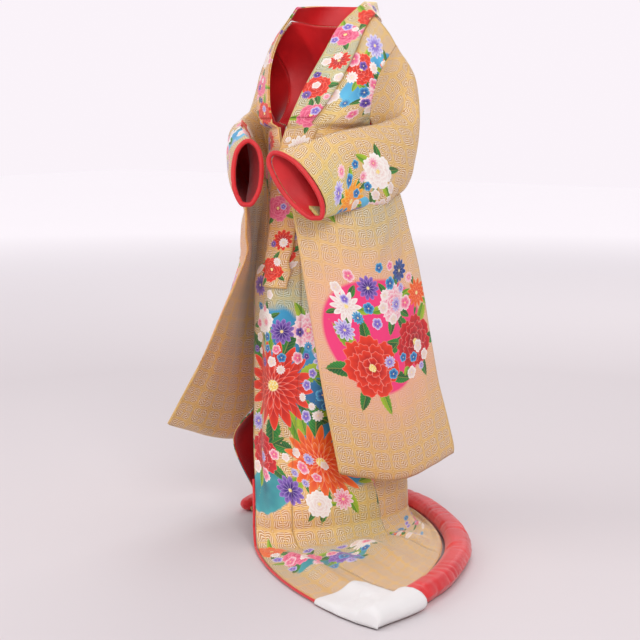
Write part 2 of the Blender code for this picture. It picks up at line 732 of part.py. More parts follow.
def roll_ring(place, grow=0.0, turns=None):
    """The hem roll's section at a place, as points round it from its outer side up."""
    outer, out, width = hem_line(place)
    wide = float(width)
    high = HEM_ROLL_HEIGHT * (0.75 + 0.25 * wide / 0.08)
    turns = np.arange(10) * 2 * math.pi / 10 if turns is None else turns
    across = np.cos(turns) * (wide / 2 + grow)
    up = np.maximum(high / 2 + np.sin(turns) * (high / 2 + grow), 0.0)
    plan = (outer - out * wide * 0.5)[None] + out[None] * across[:, None]
    return np.concatenate([plan, up[:, None]], axis=1)


def make_hem_roll():
    """The padded roll that the lining makes at the hem, thickest behind and at the left."""
    places = hem_places()
    places[-1] -= 0.03
    mesh = bmesh.new()
    rings = [[mesh.verts.new(p) for p in lifted(roll_ring(place))] for place in places]
    count = len(rings[0])
    for a, b in zip(rings, rings[1:]):
        for k in range(count):
            n = (k + 1) % count
            mesh.faces.new((a[k], a[n], b[n], b[k]))
    mesh.faces.new(rings[0])
    mesh.faces.new(rings[-1][::-1])
    bmesh.ops.recalc_face_normals(mesh, faces=mesh.faces)
    return finish("hem_roll", mesh)


def make_band_cover():
    """The second layer over the neck band, from breast to breast."""
    grid = band_grid()
    low = np.argmax(grid[:, 0, 2] > 1.10)
    high = len(grid) - np.argmax(grid[::-1, 0, 2] > 1.10)
    over = raised(grid, COVER_LIFT)[low:high]
    return sheet_mesh("band_cover", [over], body_outside, wall=COVER_THICK)


def make_lining_right():
    """The red lining of the right front, which shows where the fronts part at the foot."""
    places = hem_places()
    places = places[places < 1.75]
    heights = HEIGHTS[HEIGHTS < 0.55]
    grid = standing(places[None, :], heights[:, None])
    inner = raised(grid, -(WALL / 2 + 0.0018))[1:-1]
    return sheet_mesh("lining_right", [inner], body_outside, wall=0.002)


def make_edge_piping():
    """The thin red edge along the left front where it trails."""
    heights = np.linspace(0.15, SKIRT_FOOT, 6)
    down = standing(np.full(6, 6.0), heights)
    beside = standing(np.full(6, 5.9), heights)
    reaches = REACHES[1:-1]
    down = np.concatenate([down, lying(np.full(len(reaches), 6.0), reaches)])
    beside = np.concatenate([beside, lying(np.full(len(reaches), 5.9), reaches)])
    away = down - beside
    away = away / np.linalg.norm(away, axis=1, keepdims=True)
    line = down + away * (EDGE_PIPING + 0.0020)
    line[:, 2] = np.maximum(line[:, 2], EDGE_PIPING + 0.0005)
    return make_tube("edge_piping", line, EDGE_PIPING)


def make_corner_cover():
    """The white cloth over the trailing corner of the hem."""
    turns = np.radians([168, 140, 110, 80, 50, 20, -8, -34])
    rows = []
    for place in np.linspace(5.12, 5.985, 9):
        over = lying(np.full(4, place), np.array([0.76, 0.83, 0.90, 0.96]))
        over[:, 2] += 0.0085
        rows.append(np.concatenate([over, roll_ring(place, 0.0065, turns)]))
    grid = np.array(rows)
    end = grid[-1].copy()
    onward = grid[-1] - grid[-2]
    onward = onward / np.linalg.norm(onward, axis=1, keepdims=True)
    shoulder = end + onward * 0.012
    shoulder[:, 2] = end[:, 2] * 0.75 + 0.002
    edge = end + onward * 0.016
    edge[:, 2] = 0.004
    grid = np.concatenate([grid, shoulder[None], edge[None]])
    grid[..., 2] = np.maximum(grid[..., 2], 0.004)
    return sheet_mesh("corner_cover", [grid], lambda at: UP, wall=0.002)


def cuff_line(side):
    """The line round a sleeve's cuff, from its fold down the outer side and back up."""
    arm, bag = (ARM_LEFT, BAG_LEFT) if side > 0 else (ARM_RIGHT, BAG_RIGHT)
    tuck = LEFT_TUCK if side > 0 else 0.0
    rings = sleeve_grid(arm, bag, np.array([0.94, 1.0]), tuck)
    outer, inner = rings[1, :CUFF_POINTS], rings[1, -(CUFF_POINTS - 1):]
    loop = np.concatenate([outer, inner])
    before = np.concatenate([rings[0, :CUFF_POINTS], rings[0, -(CUFF_POINTS - 1):]])
    onward = (loop - before).mean(axis=0)
    return loop, onward / np.linalg.norm(onward)


def make_cuff_roll(side):
    """The padded red edge of a cuff."""
    loop, onward = cuff_line(side)
    name = "cuff_roll_left" if side > 0 else "cuff_roll_right"
    clear = 0.0035 if side > 0 else 0.0012
    line = loop + onward * (CUFF_ROLL + clear)
    return make_tube(name, line, CUFF_ROLL, cyclic=True)


def clear_scene():
    """Removes whatever the scene holds."""
    for item in list(bpy.data.objects):
        bpy.data.objects.remove(item)


def silk(name):
    """A piece's own plain material."""
    red, green, blue, rough, metal = FINISHES[name]
    made = bpy.data.materials.new(f"{name} cloth")
    made.use_nodes = True
    shader = made.node_tree.nodes["Principled BSDF"]
    shader.inputs["Base Color"].default_value = (red, green, blue, 1.0)
    shader.inputs["Roughness"].default_value = rough
    shader.inputs["Metallic"].default_value = metal
    return made


clear_scene()
UCHIKAKE = bpy.data.collections.new("uchikake")
bpy.context.scene.collection.children.link(UCHIKAKE)
UP = Vector((0.0, 0.0, 1.0))

make_body(1)
make_body(-1)
make_gore(1)
make_gore(-1)
make_band()
make_sleeve(1)
make_sleeve(-1)
make_hem_roll()
make_band_cover()
make_lining_right()
make_edge_piping()
make_corner_cover()
make_cuff_roll(1)
make_cuff_roll(-1)
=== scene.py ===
"""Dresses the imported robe: dyed brocade, red silk, padded hem, stitches and a plain studio.

The frame is in metres, +Z up, with the origin between the shoulders. The front faces -Y and
the wearer's left is +X. Heights in the tables are above the floor.
"""

import logging
import math
from dataclasses import dataclass, field
from enum import Enum
from functools import partialmethod
from typing import Iterable

import bpy
import numpy as np
from bpy.types import Material, Node, NodeSocket, NodeTree, Object
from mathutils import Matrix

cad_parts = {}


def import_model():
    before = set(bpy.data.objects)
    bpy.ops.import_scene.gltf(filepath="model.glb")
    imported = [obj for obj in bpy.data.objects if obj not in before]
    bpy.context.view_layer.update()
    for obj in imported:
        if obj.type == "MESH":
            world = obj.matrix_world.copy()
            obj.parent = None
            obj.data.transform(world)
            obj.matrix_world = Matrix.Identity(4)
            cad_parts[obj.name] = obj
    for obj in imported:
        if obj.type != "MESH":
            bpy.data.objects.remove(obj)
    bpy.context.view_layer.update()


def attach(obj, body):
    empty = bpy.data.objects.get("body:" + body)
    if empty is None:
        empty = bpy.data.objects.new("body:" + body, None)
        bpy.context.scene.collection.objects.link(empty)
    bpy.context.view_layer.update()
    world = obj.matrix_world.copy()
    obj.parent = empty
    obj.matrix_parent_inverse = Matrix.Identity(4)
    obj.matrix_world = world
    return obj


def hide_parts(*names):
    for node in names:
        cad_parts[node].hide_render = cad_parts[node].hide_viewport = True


LOG = logging.getLogger("uchikake")
Array = np.ndarray
Table = dict[str, Array]
Triple = tuple[float, float, float]
Finishes = tuple[Material, ...]
Sockets = tuple[tuple[str, str], ...]
Face = tuple[int, ...]

SHOULDER_HEIGHT = 1.36
ARMPIT = 1.08
SKIRT_FOOT = 0.045
APRON_REACH = 0.55  # flat length of the cloth on the floor, as its pattern is laid out


class Side(Enum):
    """The wearer's side."""

    LEFT = 1
    RIGHT = -1

    @property
    def label(self) -> str:
        """The side's word in names."""
        return self.name.lower()


def table(columns: str, *rows: tuple[float, ...]) -> Table:
    """Makes a table with named columns.

    Args:
        columns: the column names, parted by blanks.
        rows: one tuple for each row.

    Returns:
        One array for each column name.
    """
    names = columns.split()
    return {name: np.array([row[i] for row in rows], float) for i, name in enumerate(names)}


RINGS = table(
    "height centre_x centre_y half_width half_depth",
    (0.045, -0.011, -0.008, 0.205, 0.205),
    (0.20, -0.011, -0.008, 0.214, 0.210),
    (0.35, -0.011, -0.008, 0.212, 0.208),
    (0.60, -0.008, -0.008, 0.210, 0.206),
    (0.80, -0.004, -0.012, 0.184, 0.212),
    (0.95, 0.000, -0.024, 0.147, 0.209),
    (1.08, 0.000, -0.028, 0.142, 0.187),
)
SEAMS = table(
    "height right_edge right_gore right_side back left_side left_gore left_edge",
    (0.045, 67, 104, 170, 236, 300, 352, 392),
    (0.20, 60, 97, 152, 222, 292, 350, 392),
    (0.35, 41, 78, 136, 208, 284, 347, 392),
    (0.60, -18, 28, 100, 184, 270, 344, 392),
    (0.70, -22, 25, 98, 181, 269, 343, 390),
    (0.74, -22, 25, 98, 180, 269, 343, 376),
    (0.80, -20, 26, 97, 180, 269, 343, 371),
    (0.95, -8, 30, 95, 180, 268, 341, 367),
    (1.08, 12, 40, 94, 180, 266, 333, 354),
)
SEAM_NAMES = "right_edge right_gore right_side back left_side left_gore left_edge".split()
HEM = table(
    "place foot_x foot_y hem_x hem_y roll_width bow",
    (0.0, -0.160, -0.070, -0.250, -0.112, 0.046, 0.0),
    (0.5, -0.182, 0.020, -0.272, 0.020, 0.055, 0.0),
    (1.0, -0.166, 0.100, -0.238, 0.142, 0.060, 0.0),
    (1.5, -0.092, 0.158, -0.140, 0.236, 0.065, 0.0),
    (2.0, 0.004, 0.178, 0.030, 0.274, 0.072, 0.0),
    (2.5, 0.100, 0.160, 0.185, 0.230, 0.076, 0.0),
    (3.0, 0.180, 0.110, 0.320, 0.135, 0.078, 0.0),
    (3.5, 0.210, 0.035, 0.440, 0.015, 0.080, 0.0),
    (4.0, 0.206, -0.060, 0.535, -0.135, 0.080, 0.0),
    (4.5, 0.160, -0.190, 0.598, -0.320, 0.080, 0.0),
    (5.0, 0.085, -0.290, 0.618, -0.470, 0.076, 0.01),
    (6.0, -0.010, -0.322, 0.601, -0.656, 0.050, 0.05),
)
NECK_LEFT = table(
    "rise free_x free_y free_h sewn_x sewn_y sewn_h",
    (0.00, 0.020, -0.226, 1.080, 0.0695, -0.1955, 1.080),
    (0.30, 0.046, -0.193, 1.170, 0.108, -0.142, 1.165),
    (0.60, 0.062, -0.126, 1.262, 0.124, -0.072, 1.262),
    (0.85, 0.070, -0.050, 1.345, 0.122, -0.020, 1.330),
    (1.00, 0.086, 0.022, 1.398, 0.119, 0.022, 1.366),
)
NECK_RIGHT = table(
    "rise free_x free_y free_h sewn_x sewn_y sewn_h",
    (0.00, -0.040, -0.196, 1.080, -0.0977, -0.1720, 1.080),
    (0.30, -0.066, -0.176, 1.160, -0.136, -0.136, 1.155),
    (0.60, -0.100, -0.120, 1.250, -0.158, -0.072, 1.250),
    (0.85, -0.114, -0.050, 1.335, -0.154, -0.020, 1.322),
    (1.00, -0.118, 0.016, 1.392, -0.146, 0.020, 1.360),
)
NECK_BACK = table(
    "turn free_x free_y free_h sewn_x sewn_y sewn_h",
    (0.00, 0.086, 0.022, 1.398, 0.119, 0.022, 1.366),
    (0.25, 0.068, 0.098, 1.405, 0.086, 0.092, 1.352),
    (0.50, -0.008, 0.142, 1.402, -0.008, 0.128, 1.346),
    (0.75, -0.090, 0.096, 1.402, -0.110, 0.090, 1.350),
    (1.00, -0.118, 0.016, 1.392, -0.146, 0.020, 1.360),
)
ARMHOLE_LEFT = table(
    "rise front_x front_y front_h back_x back_y back_h",
    (0.00, 0.1510, -0.0405, 1.080, 0.1510, -0.0405, 1.080),
    (0.35, 0.166, -0.052, 1.150, 0.166, 0.050, 1.150),
    (0.70, 0.180, -0.030, 1.230, 0.180, 0.070, 1.225),
    (1.00, 0.186, 0.030, 1.290, 0.186, 0.030, 1.290),
)
ARMHOLE_RIGHT = table(
    "rise front_x front_y front_h back_x back_y back_h",
    (0.00, -0.1510, -0.0405, 1.080, -0.1510, -0.0405, 1.080),
    (0.35, -0.176, -0.056, 1.150, -0.176, 0.044, 1.150),
    (0.70, -0.198, -0.038, 1.230, -0.196, 0.062, 1.225),
    (1.00, -0.208, 0.018, 1.288, -0.208, 0.018, 1.288),
)
ARM_LEFT = table(
    "along top_x top_y top_h low_x low_y low_h half_width inner_width out",
    (0.00, 0.191, 0.031, 1.293, 0.160, -0.002, 1.070, 0.055, 0.055, 180),
    (0.18, 0.206, 0.048, 1.228, 0.176, 0.008, 0.990, 0.050, 0.040, 146),
    (0.36, 0.206, 0.036, 1.120, 0.188, 0.010, 0.905, 0.047, 0.022, 116),
    (0.52, 0.196, -0.042, 1.092, 0.194, -0.044, 0.885, 0.048, 0.016, 114),
    (0.76, 0.146, -0.178, 1.068, 0.176, -0.164, 0.872, 0.046, 0.018, 117),
    (1.00, 0.067, -0.318, 1.022, 0.166, -0.285, 0.862, 0.045, 0.042, 118),
)
ARM_RIGHT = table(
    "along top_x top_y top_h low_x low_y low_h half_width inner_width out",
    (0.00, -0.213, 0.018, 1.291, -0.164, -0.004, 1.070, 0.055, 0.055, 180),
    (0.18, -0.264, 0.034, 1.225, -0.196, 0.006, 0.990, 0.054, 0.045, 224),
    (0.36, -0.272, 0.006, 1.130, -0.222, -0.004, 0.915, 0.050, 0.030, 252),
    (0.52, -0.240, -0.070, 1.105, -0.208, -0.060, 0.900, 0.046, 0.022, 272),
    (0.76, -0.150, -0.200, 1.080, -0.146, -0.196, 0.890, 0.038, 0.020, 292),
    (1.00, -0.044, -0.302, 1.048, -0.040, -0.316, 0.888, 0.036, 0.036, 300),
)
BAG_LEFT = table(
    "drop furi_x furi_y furi_h centre_x centre_y centre_h front_x front_y front_h",
    (0.00, 0.184, 0.018, 0.965, 0.182, -0.130, 0.890, 0.060, -0.268, 0.938),
    (0.40, 0.238, 0.058, 0.700, 0.214, -0.118, 0.660, 0.104, -0.258, 0.690),
    (0.75, 0.276, 0.095, 0.410, 0.240, -0.080, 0.390, 0.150, -0.240, 0.405),
    (1.00, 0.316, 0.130, 0.205, 0.264, -0.048, 0.160, 0.182, -0.214, 0.196),
)
BAG_RIGHT = table(
    "drop furi_x furi_y furi_h centre_x centre_y centre_h front_x front_y front_h",
    (0.00, -0.200, 0.006, 0.965, -0.192, -0.112, 0.880, -0.050, -0.304, 0.836),
    (0.28, -0.238, 0.020, 0.760, -0.212, -0.104, 0.700, -0.088, -0.258, 0.745),
    (0.68, -0.266, 0.030, 0.430, -0.264, -0.112, 0.420, -0.218, -0.282, 0.470),
    (1.00, -0.290, 0.036, 0.196, -0.296, -0.106, 0.206, -0.330, -0.302, 0.276),
)
ARMHOLES = {Side.LEFT: ARMHOLE_LEFT, Side.RIGHT: ARMHOLE_RIGHT}
NECKS = {Side.LEFT: NECK_LEFT, Side.RIGHT: NECK_RIGHT}
ARMS = {Side.LEFT: ARM_LEFT, Side.RIGHT: ARM_RIGHT}
BAGS = {Side.LEFT: BAG_LEFT, Side.RIGHT: BAG_RIGHT}
SKIRT_FOLDS = table(
    "place width depth from_height to_height",
    (0.0, 0.70, 0.062, -0.01, 0.31),
    (2.4, 0.16, 0.016, 0.02, 0.95),
    (2.8, 0.14, -0.012, 0.02, 0.90),
    (3.25, 0.15, 0.015, 0.02, 0.92),
    (3.7, 0.14, -0.012, 0.02, 0.85),
    (4.15, 0.13, 0.013, 0.02, 0.80),
    (4.45, 0.12, -0.012, 0.05, 0.86),
    (4.72, 0.13, 0.014, 0.05, 0.92),
    (5.05, 0.16, -0.010, 0.05, 0.96),
    (5.42, 0.18, 0.012, 0.05, 0.80),
    (5.78, 0.12, -0.008, 0.05, 0.62),
)
FLOOR_FOLDS = table(
    "place width height from_reach to_reach",
    (3.3, 0.22, 0.014, 0.10, 1.00),
    (3.9, 0.22, 0.020, 0.10, 1.00),
    (4.4, 0.17, 0.026, 0.02, 0.95),
    (4.85, 0.16, 0.022, 0.02, 0.92),
    (5.35, 0.22, 0.024, 0.05, 0.98),
)


def smooth(xs: Array, ys: Array, at: Array | float) -> Array:
    """Reads a smooth curve through a table's points.

    Args:
        xs: the key column, rising.
        ys: the values.
        at: where to read.

    Returns:
        The values there.
    """
    at = np.asarray(at, float)
    step = np.diff(xs)
    rise = np.diff(ys) / step
    slope = np.empty_like(ys)
    slope[0], slope[-1] = rise[0], rise[-1]
    slope[1:-1] = (rise[:-1] * step[1:] + rise[1:] * step[:-1]) / (step[1:] + step[:-1])
    i = np.clip(np.searchsorted(xs, at, side="right") - 1, 0, len(xs) - 2)
    h = step[i]
    t = np.clip((at - xs[i]) / h, 0.0, 1.0)
    return (
        ys[i] * (1 + 2 * t) * (1 - t) ** 2
        + slope[i] * h * t * (1 - t) ** 2
        + ys[i + 1] * t * t * (3 - 2 * t)
        + slope[i + 1] * h * t * t * (t - 1)
    )


def column(source: Table, key: str, name: str, at: Array | float) -> Array:
    """Reads one column of a table along its key column."""
    return smooth(source[key], source[name], at)


def corner(source: Table, key: str, at: Array | float, prefix: str) -> Array:
    """Reads a table's x, y and h columns with one prefix, as points."""
    names = [f"{prefix}_{axis}" for axis in ("x", "y", "h")]
    return np.stack([column(source, key, name, at) for name in names], axis=-1)


def ease(t: Array | float) -> Array:
    """Goes from nought to one with soft ends."""
    t = np.clip(t, 0.0, 1.0)
    return t * t * (3 - 2 * t)


def coons(bottom: Array, top: Array, left: Array, right: Array) -> Array:
    """Fills a patch between four edges.

    Args:
        bottom: the first row.
        top: the last row.
        left: the first column.
        right: the last column.

    Returns:
        The grid of points, from the bottom row to the top row.
    """
    v = np.linspace(0, 1, len(left))[:, None, None]
    u = np.linspace(0, 1, len(bottom))[None, :, None]
    across = left[:, None] * (1 - u) + right[:, None] * u
    upward = bottom[None] * (1 - v) + top[None] * v
    corners = (
        bottom[0] * (1 - u) * (1 - v)
        + bottom[-1] * u * (1 - v)
        + top[0] * (1 - u) * v
        + top[-1] * u * v
    )
    return across + upward - corners


def unit(vectors: Array) -> Array:
    """Scales vectors to the length of one."""
    return vectors / np.linalg.norm(vectors, axis=-1, keepdims=True)


def lengths(line: Array) -> Array:
    """Measures the way along a line to each of its points."""
    return np.concatenate([[0], np.cumsum(np.linalg.norm(np.diff(line, axis=0), axis=1))])


def read_line(at: Array, way: Array, line: Array) -> Array:
    """Reads a line's points at places along it."""
    return np.stack([np.interp(at, way, line[:, k]) for k in range(3)], -1)


def activate(piece: Object) -> None:
    """Selects one object alone and makes it the active one."""
    bpy.ops.object.select_all(action="DESELECT")
    piece.select_set(True)
    bpy.context.view_layer.objects.active = piece


def normals_of(grid: Array) -> Array:
    """Works out unit normals of a grid of points."""
    normal = np.cross(np.gradient(grid, axis=0), np.gradient(grid, axis=1))
    return normal / np.maximum(np.linalg.norm(normal, axis=-1, keepdims=True), 1e-12)


@dataclass
class RobeForm:
    """The robe's surfaces, as the solids have them, read as finely as is wanted."""

    lap_depth: float = 0.020
    seam_gap: float = 0.0004
    side_slit: float = 0.15
    roll_height: float = 0.044
    band_width: float = 0.080
    band_lift: float = 0.0052
    heights: Array = field(default_factory=lambda: np.linspace(SKIRT_FOOT, ARMPIT, 64))
    reaches: Array = field(default_factory=lambda: np.linspace(0, 1, 34) ** 1.25)
    rises: Array = field(default_factory=lambda: np.linspace(0, 1, 25))

    def folds_at(self, folds: Table, low: str, high: str, size: str, place: Array, at: Array) -> Array:
        """Adds up a table's folds, each a soft bump across and along its length.

        Args:
            folds: the table.
            low: the column where a fold starts.
            high: the column where it ends.
            size: the column of its depth or height.
            place: places round the robe.
            at: places along the folds.

        Returns:
            How far the cloth stands out.
        """
        total = np.zeros(np.broadcast(place, at).shape)
        for i in range(len(folds["place"])):
            start, end = folds[low][i], folds[high][i]
            half = (end - start) / 2
            across = np.exp(-(((place - folds["place"][i]) / folds["width"][i]) ** 2))
            along = np.clip(1 - ((at - (start + end) / 2) / half) ** 2, 0.0, 1.0)
            total = total + folds[size][i] * across * along
        return total

    def standing(self, place: Array, height: Array) -> Array:
        """Gives the standing skirt's points.

        Args:
            place: places round the robe, 0 to 6.
            height: heights above the floor.

        Returns:
            The points.
        """
        place, height = np.broadcast_arrays(np.asarray(place, float), np.asarray(height, float))
        angles = np.stack([column(SEAMS, "height", name, height) for name in SEAM_NAMES])
        rise = np.diff(angles, axis=0)
        slope = np.concatenate([rise[:1], (rise[:-1] + rise[1:]) / 2, rise[-1:]])
        i = np.clip(np.floor(place).astype(int), 0, 5)[None]
        t = np.clip(place - i[0], 0, 1)
        low = np.take_along_axis(angles, i, 0)[0]
        high = np.take_along_axis(angles, i + 1, 0)[0]
        low_slope = np.take_along_axis(slope, i, 0)[0]
        high_slope = np.take_along_axis(slope, i + 1, 0)[0]
        turn = np.radians(
            low * (1 + 2 * t) * (1 - t) ** 2
            + low_slope * t * (1 - t) ** 2
            + high * t * t * (3 - 2 * t)
            + high_slope * t * t * (t - 1)
        )
        inside = self.lap_depth * (1 - ease((place - 0.9) / 1.1)) * ease((height - 0.20) / 0.2)
        half_width = column(RINGS, "height", "half_width", height) - inside
        half_depth = column(RINGS, "height", "half_depth", height) - inside
        x = column(RINGS, "height", "centre_x", height) - half_width * np.sin(turn)
        y = column(RINGS, "height", "centre_y", height) - half_depth * np.cos(turn)
        near_floor = ease((0.26 - height) / (0.26 - SKIRT_FOOT))
        x = x + (column(HEM, "place", "foot_x", place) - x) * near_floor
        y = y + (column(HEM, "place", "foot_y", place) - y) * near_floor
        folds = self.folds_at(SKIRT_FOLDS, "from_height", "to_height", "depth", place, height)
        return np.stack([x - folds * np.sin(turn), y - folds * np.cos(turn), height], axis=-1)

    def hem_line(self, place: Array) -> tuple[Array, Array, Array]:
        """Gives the hem's outer side in plan, its outward direction and the roll's width."""
        place = np.asarray(place, float)
        names = ("hem_x", "hem_y")
        at = np.stack([column(HEM, "place", n, place) for n in names], axis=-1)
        ahead, back = np.clip(place + 0.02, 0, 6), np.clip(place - 0.02, 0, 6)
        run = np.stack(
            [column(HEM, "place", n, ahead) - column(HEM, "place", n, back) for n in names],
            axis=-1,
        )
        run = unit(run)
        out = np.stack([run[..., 1], -run[..., 0]], axis=-1)
        side = np.sign(np.sum(out * (at - np.array([0.10, -0.10])), axis=-1, keepdims=True))
        return at, out * side, column(HEM, "place", "roll_width", place)

    def lying(self, place: Array, reach: Array) -> Array:
        """Gives the cloth on the floor, from the skirt's foot (0) to the hem roll (1)."""
        place, reach = np.broadcast_arrays(np.asarray(place, float), np.asarray(reach, float))
        foot = self.standing(place, np.full(place.shape, SKIRT_FOOT))[..., :2]
        outer, out, width = self.hem_line(place)
        run = outer - out * (width[..., None] + 0.0013) - foot
        length = np.linalg.norm(run, axis=-1)
        side = np.stack([run[..., 1], -run[..., 0]], axis=-1) / length[..., None]
        bow = column(HEM, "place", "bow", place) * 4 * reach * (1 - reach)
        plan = foot + run * reach[..., None] + side * bow[..., None]
        bend = np.clip(0.05 / np.maximum(length, 0.06), 0.0, 0.8)
        drop = ease(reach / bend) ** 0.6
        waves = self.folds_at(FLOOR_FOLDS, "from_reach", "to_reach", "height", place, reach)
        floor = 0.006 + waves + 0.013 * ease((reach - 0.75) / 0.25)
        height = SKIRT_FOOT * (1 - drop) + floor * drop
        return np.concatenate([plan, height[..., None]], axis=-1)

    def skirt(self, places: Array) -> Array:
        """Gives rows from the hem up to the armpit, one column for each place."""
        floor = self.lying(places[None, :], self.reaches[:0:-1, None])
        return np.concatenate([floor, self.standing(places[None, :], self.heights[:, None])])

    def skirt_marks(self) -> Array:
        """Gives each skirt row's place on the flat cloth, nought at the skirt's foot."""
        return np.concatenate([-self.reaches[:0:-1] * APRON_REACH, self.heights - SKIRT_FOOT])

    def ridge(self, side: Side, share: Array) -> Array:
        """Gives the shoulder's fold from the armhole (0) to the neck (1)."""
        armhole, neck = ARMHOLES[side], NECKS[side]
        start = corner(armhole, "rise", 1.0, "front")
        end = corner(neck, "rise", 1.0, "sewn")
        share = np.asarray(share, float)[..., None]
        return start + (end - start) * share + np.array([0, 0, 0.010]) * 4 * share * (1 - share)

    def body_grids(self, side: Side, count: int = 25) -> tuple[Array, Array]:
        """Gives a body length's front and back, each from the hem up over the shoulder."""
        left = side is Side.LEFT
        armhole, neck = ARMHOLES[side], NECKS[side]
        trim = self.seam_gap / 0.30
        shares = np.linspace(0, 1, count)
        seam, side_seam, back = (5.0, 4.0, 3.0) if left else (1.0, 2.0, 3.0)
        inward = -1 if left else 1
        front_places = side_seam + (seam + inward * trim - side_seam) * shares
        neck_count = count // 2
        back_shares = np.linspace(0, 1, count + neck_count - 1)
        back_places = side_seam + (back - inward * trim - side_seam) * back_shares
        front_low = self.skirt(front_places)
        sewn = corner(neck, "rise", self.rises, "sewn")
        edge = corner(armhole, "rise", self.rises, "front")
        edge[0] = front_low[-1, 0]
        sewn = sewn + (front_low[-1, -1] - sewn[0]) * (1 - self.rises[:, None])
        front_top = coons(front_low[-1], self.ridge(side, shares), edge, sewn)
        back_low = self.skirt(back_places)
        turns = np.linspace(0, 0.5, neck_count) if left else np.linspace(1, 0.5, neck_count)
        nape = corner(NECK_BACK, "turn", turns, "sewn")
        nape[-1, 0] += self.seam_gap / 2 * side.value
        top = np.concatenate([self.ridge(side, shares), nape[1:]])
        centre = np.linspace(back_low[-1, -1], nape[-1], len(self.rises))
        centre[:, 1] += 0.022 * np.sin(math.pi * self.rises)
        edge = corner(armhole, "rise", self.rises, "back")
        edge[0] = back_low[-1, 0]
        back_top = coons(back_low[-1], top, edge, centre)
        front = np.concatenate([front_low, front_top[1:]])
        rear = np.concatenate([back_low, back_top[1:]])
        self.open_slit(front, rear)
        return front, rear

    def open_slit(self, front: Array, rear: Array) -> None:
        """Parts the front from the back along the slit below the armhole."""
        first = len(self.reaches) - 1
        for row in range(first, front.shape[0] - 1):
            height = front[row, 0, 2]
            open_by = 0.004 * float(ease((height - ARMPIT + self.side_slit) / 0.02))
            if height <= ARMPIT + 0.001:
                front[row, 0, 1] -= open_by
                rear[row, 0, 1] += open_by

    def raised(self, grid: Array, lift: float | Array) -> Array:
        """Moves a grid out from the body's axis along its own normals."""
        normal = normals_of(grid)
        side = np.sign(np.sum(normal[..., :2] * grid[..., :2], axis=-1, keepdims=True))
        return grid + normal * side * lift

    def band_lower(self, side: Side, heights: Array, count: int) -> Array:
        """Gives the neck band where it lies on a front, free edge to sewn edge."""
        shares = np.linspace(0, 1, count)
        rows = []
        for height in heights:
            start = 0.0
            if side is Side.LEFT:
                start = 5.62 + 0.38 * float(ease((height - 0.70) / 0.05))
            places = start - side.value * np.linspace(0, 1.6, 81)
            run = self.standing(places, np.full(places.shape, height))
            at = np.interp(shares * self.band_width, lengths(run[:, :2]), places)
            rows.append(self.standing(at, np.full(at.shape, height)))
        return np.array(rows)

    def band_grid(self, count: int = 9) -> Array:
        """Gives the whole neck band, from its left end over the nape to its right end."""
        shares = np.linspace(0, 0.99, count)[None, :, None]

        def upper(source: Table, key: str, at: Array) -> Array:
            free = corner(source, key, at, "free")[:, None]
            sewn = corner(source, key, at, "sewn")[:, None]
            return free + (sewn - free) * shares

        rises = self.rises[1:]
        parts = [
            self.band_lower(Side.LEFT, np.linspace(0.665, ARMPIT, 30), count),
            upper(NECK_LEFT, "rise", rises),
            upper(NECK_BACK, "turn", np.linspace(0, 1, 31)[1:-1]),
            upper(NECK_RIGHT, "rise", rises)[::-1],
            self.band_lower(Side.RIGHT, np.linspace(0.72, ARMPIT, 28), count)[::-1],
        ]
        grid = np.concatenate(parts)
        extra = 0.0012 * ease((0.84 - grid[..., 2:]) / 0.06)
        return self.raised(grid, self.band_lift + extra)

    def sleeve_rings(self, side: Side, alongs: Array) -> tuple[Array, Array]:
        """Gives a sleeve's outer and inner lines from the fold to the foot.

        Args:
            side: which sleeve.
            alongs: places from the body (0) to the cuff (1).

        Returns:
            The outer lines and the inner lines, one for each place.
        """
        left = side is Side.LEFT
        arm, bag = ARMS[side], BAGS[side]
        up = np.array([0.0, 0.0, 1.0])
        furi = np.array([bag["furi_x"][-1], bag["furi_y"][-1]])
        front = np.array([bag["front_x"][-1], bag["front_y"][-1]])
        chord = (front - furi) / np.linalg.norm(front - furi)
        face = np.array([-chord[1], chord[0], 0.0])
        if np.dot(face[:2], furi + front) < 0:
            face = -face
        outers, inners = [], []
        for along in alongs:
            top = corner(arm, "along", along, "top")
            low = corner(arm, "along", along, "low")
            half = float(column(arm, "along", "half_width", along))
            inner_half = float(column(arm, "along", "inner_width", along))
            out = math.radians(float(column(arm, "along", "out", along)))
            way = np.array([math.sin(out), -math.cos(out), 0.0])
            hang = np.array(
                [
                    [
                        smooth(
                            np.array([0.0, 0.5, 1.0]),
                            np.array([bag[f"{part}_{axis}"][i] for part in ("furi", "centre", "front")]),
                            along,
                        )
                        for axis in ("x", "y", "h")
                    ]
                    for i in range(4)
                ]
            )
            shut = ease((along - 0.80) / 0.20)
            slack = 0.016 * (1 - shut) * (1 - 0.3 * (1 - along))
            tuck = ease((along - 0.40) / 0.60)
            axis = top - low
            crest = hang[0]
            crease = low * 0.55 + crest * 0.45 - up * 0.004
            rising = crest + face * 0.013 - up * 0.030 * tuck if left else low * 0.4 + crest * 0.6
            shares = ((0, 0, 0.2), (0, 0.38, 1), (1, 0, 1), (1, 0.5, 1))
            shares += ((2, 0, 1), (2, 0.55, 1), (2, 0.94, 0.7))
            below, below_in = [], []
            for first, share, full in shares:
                at = hang[first] * (1 - share) + hang[min(first + 1, 3)] * share
                below.append(at + face * slack * full)
                below_in.append(at - face * slack * (0.6 if full == 0.2 else full))
            steps = ((0.13, 0.72), (0.42, 1.0), (0.74, 0.90), (0.97, 0.42))
            outer = [top] + [top - axis * d + way * half * w for d, w in steps]
            inner = [top] + [top - axis * d - way * inner_half * w for d, w in steps]
            low_in = low * shut + (low - way * inner_half * 0.15) * (1 - shut)
            join_in = [
                (inner[-1] * 0.5 + below_in[0] * 0.5) * (1 - shut) + crease * shut,
                (inner[-1] * 0.2 + below_in[0] * 0.8) * (1 - shut) + rising * shut,
            ]
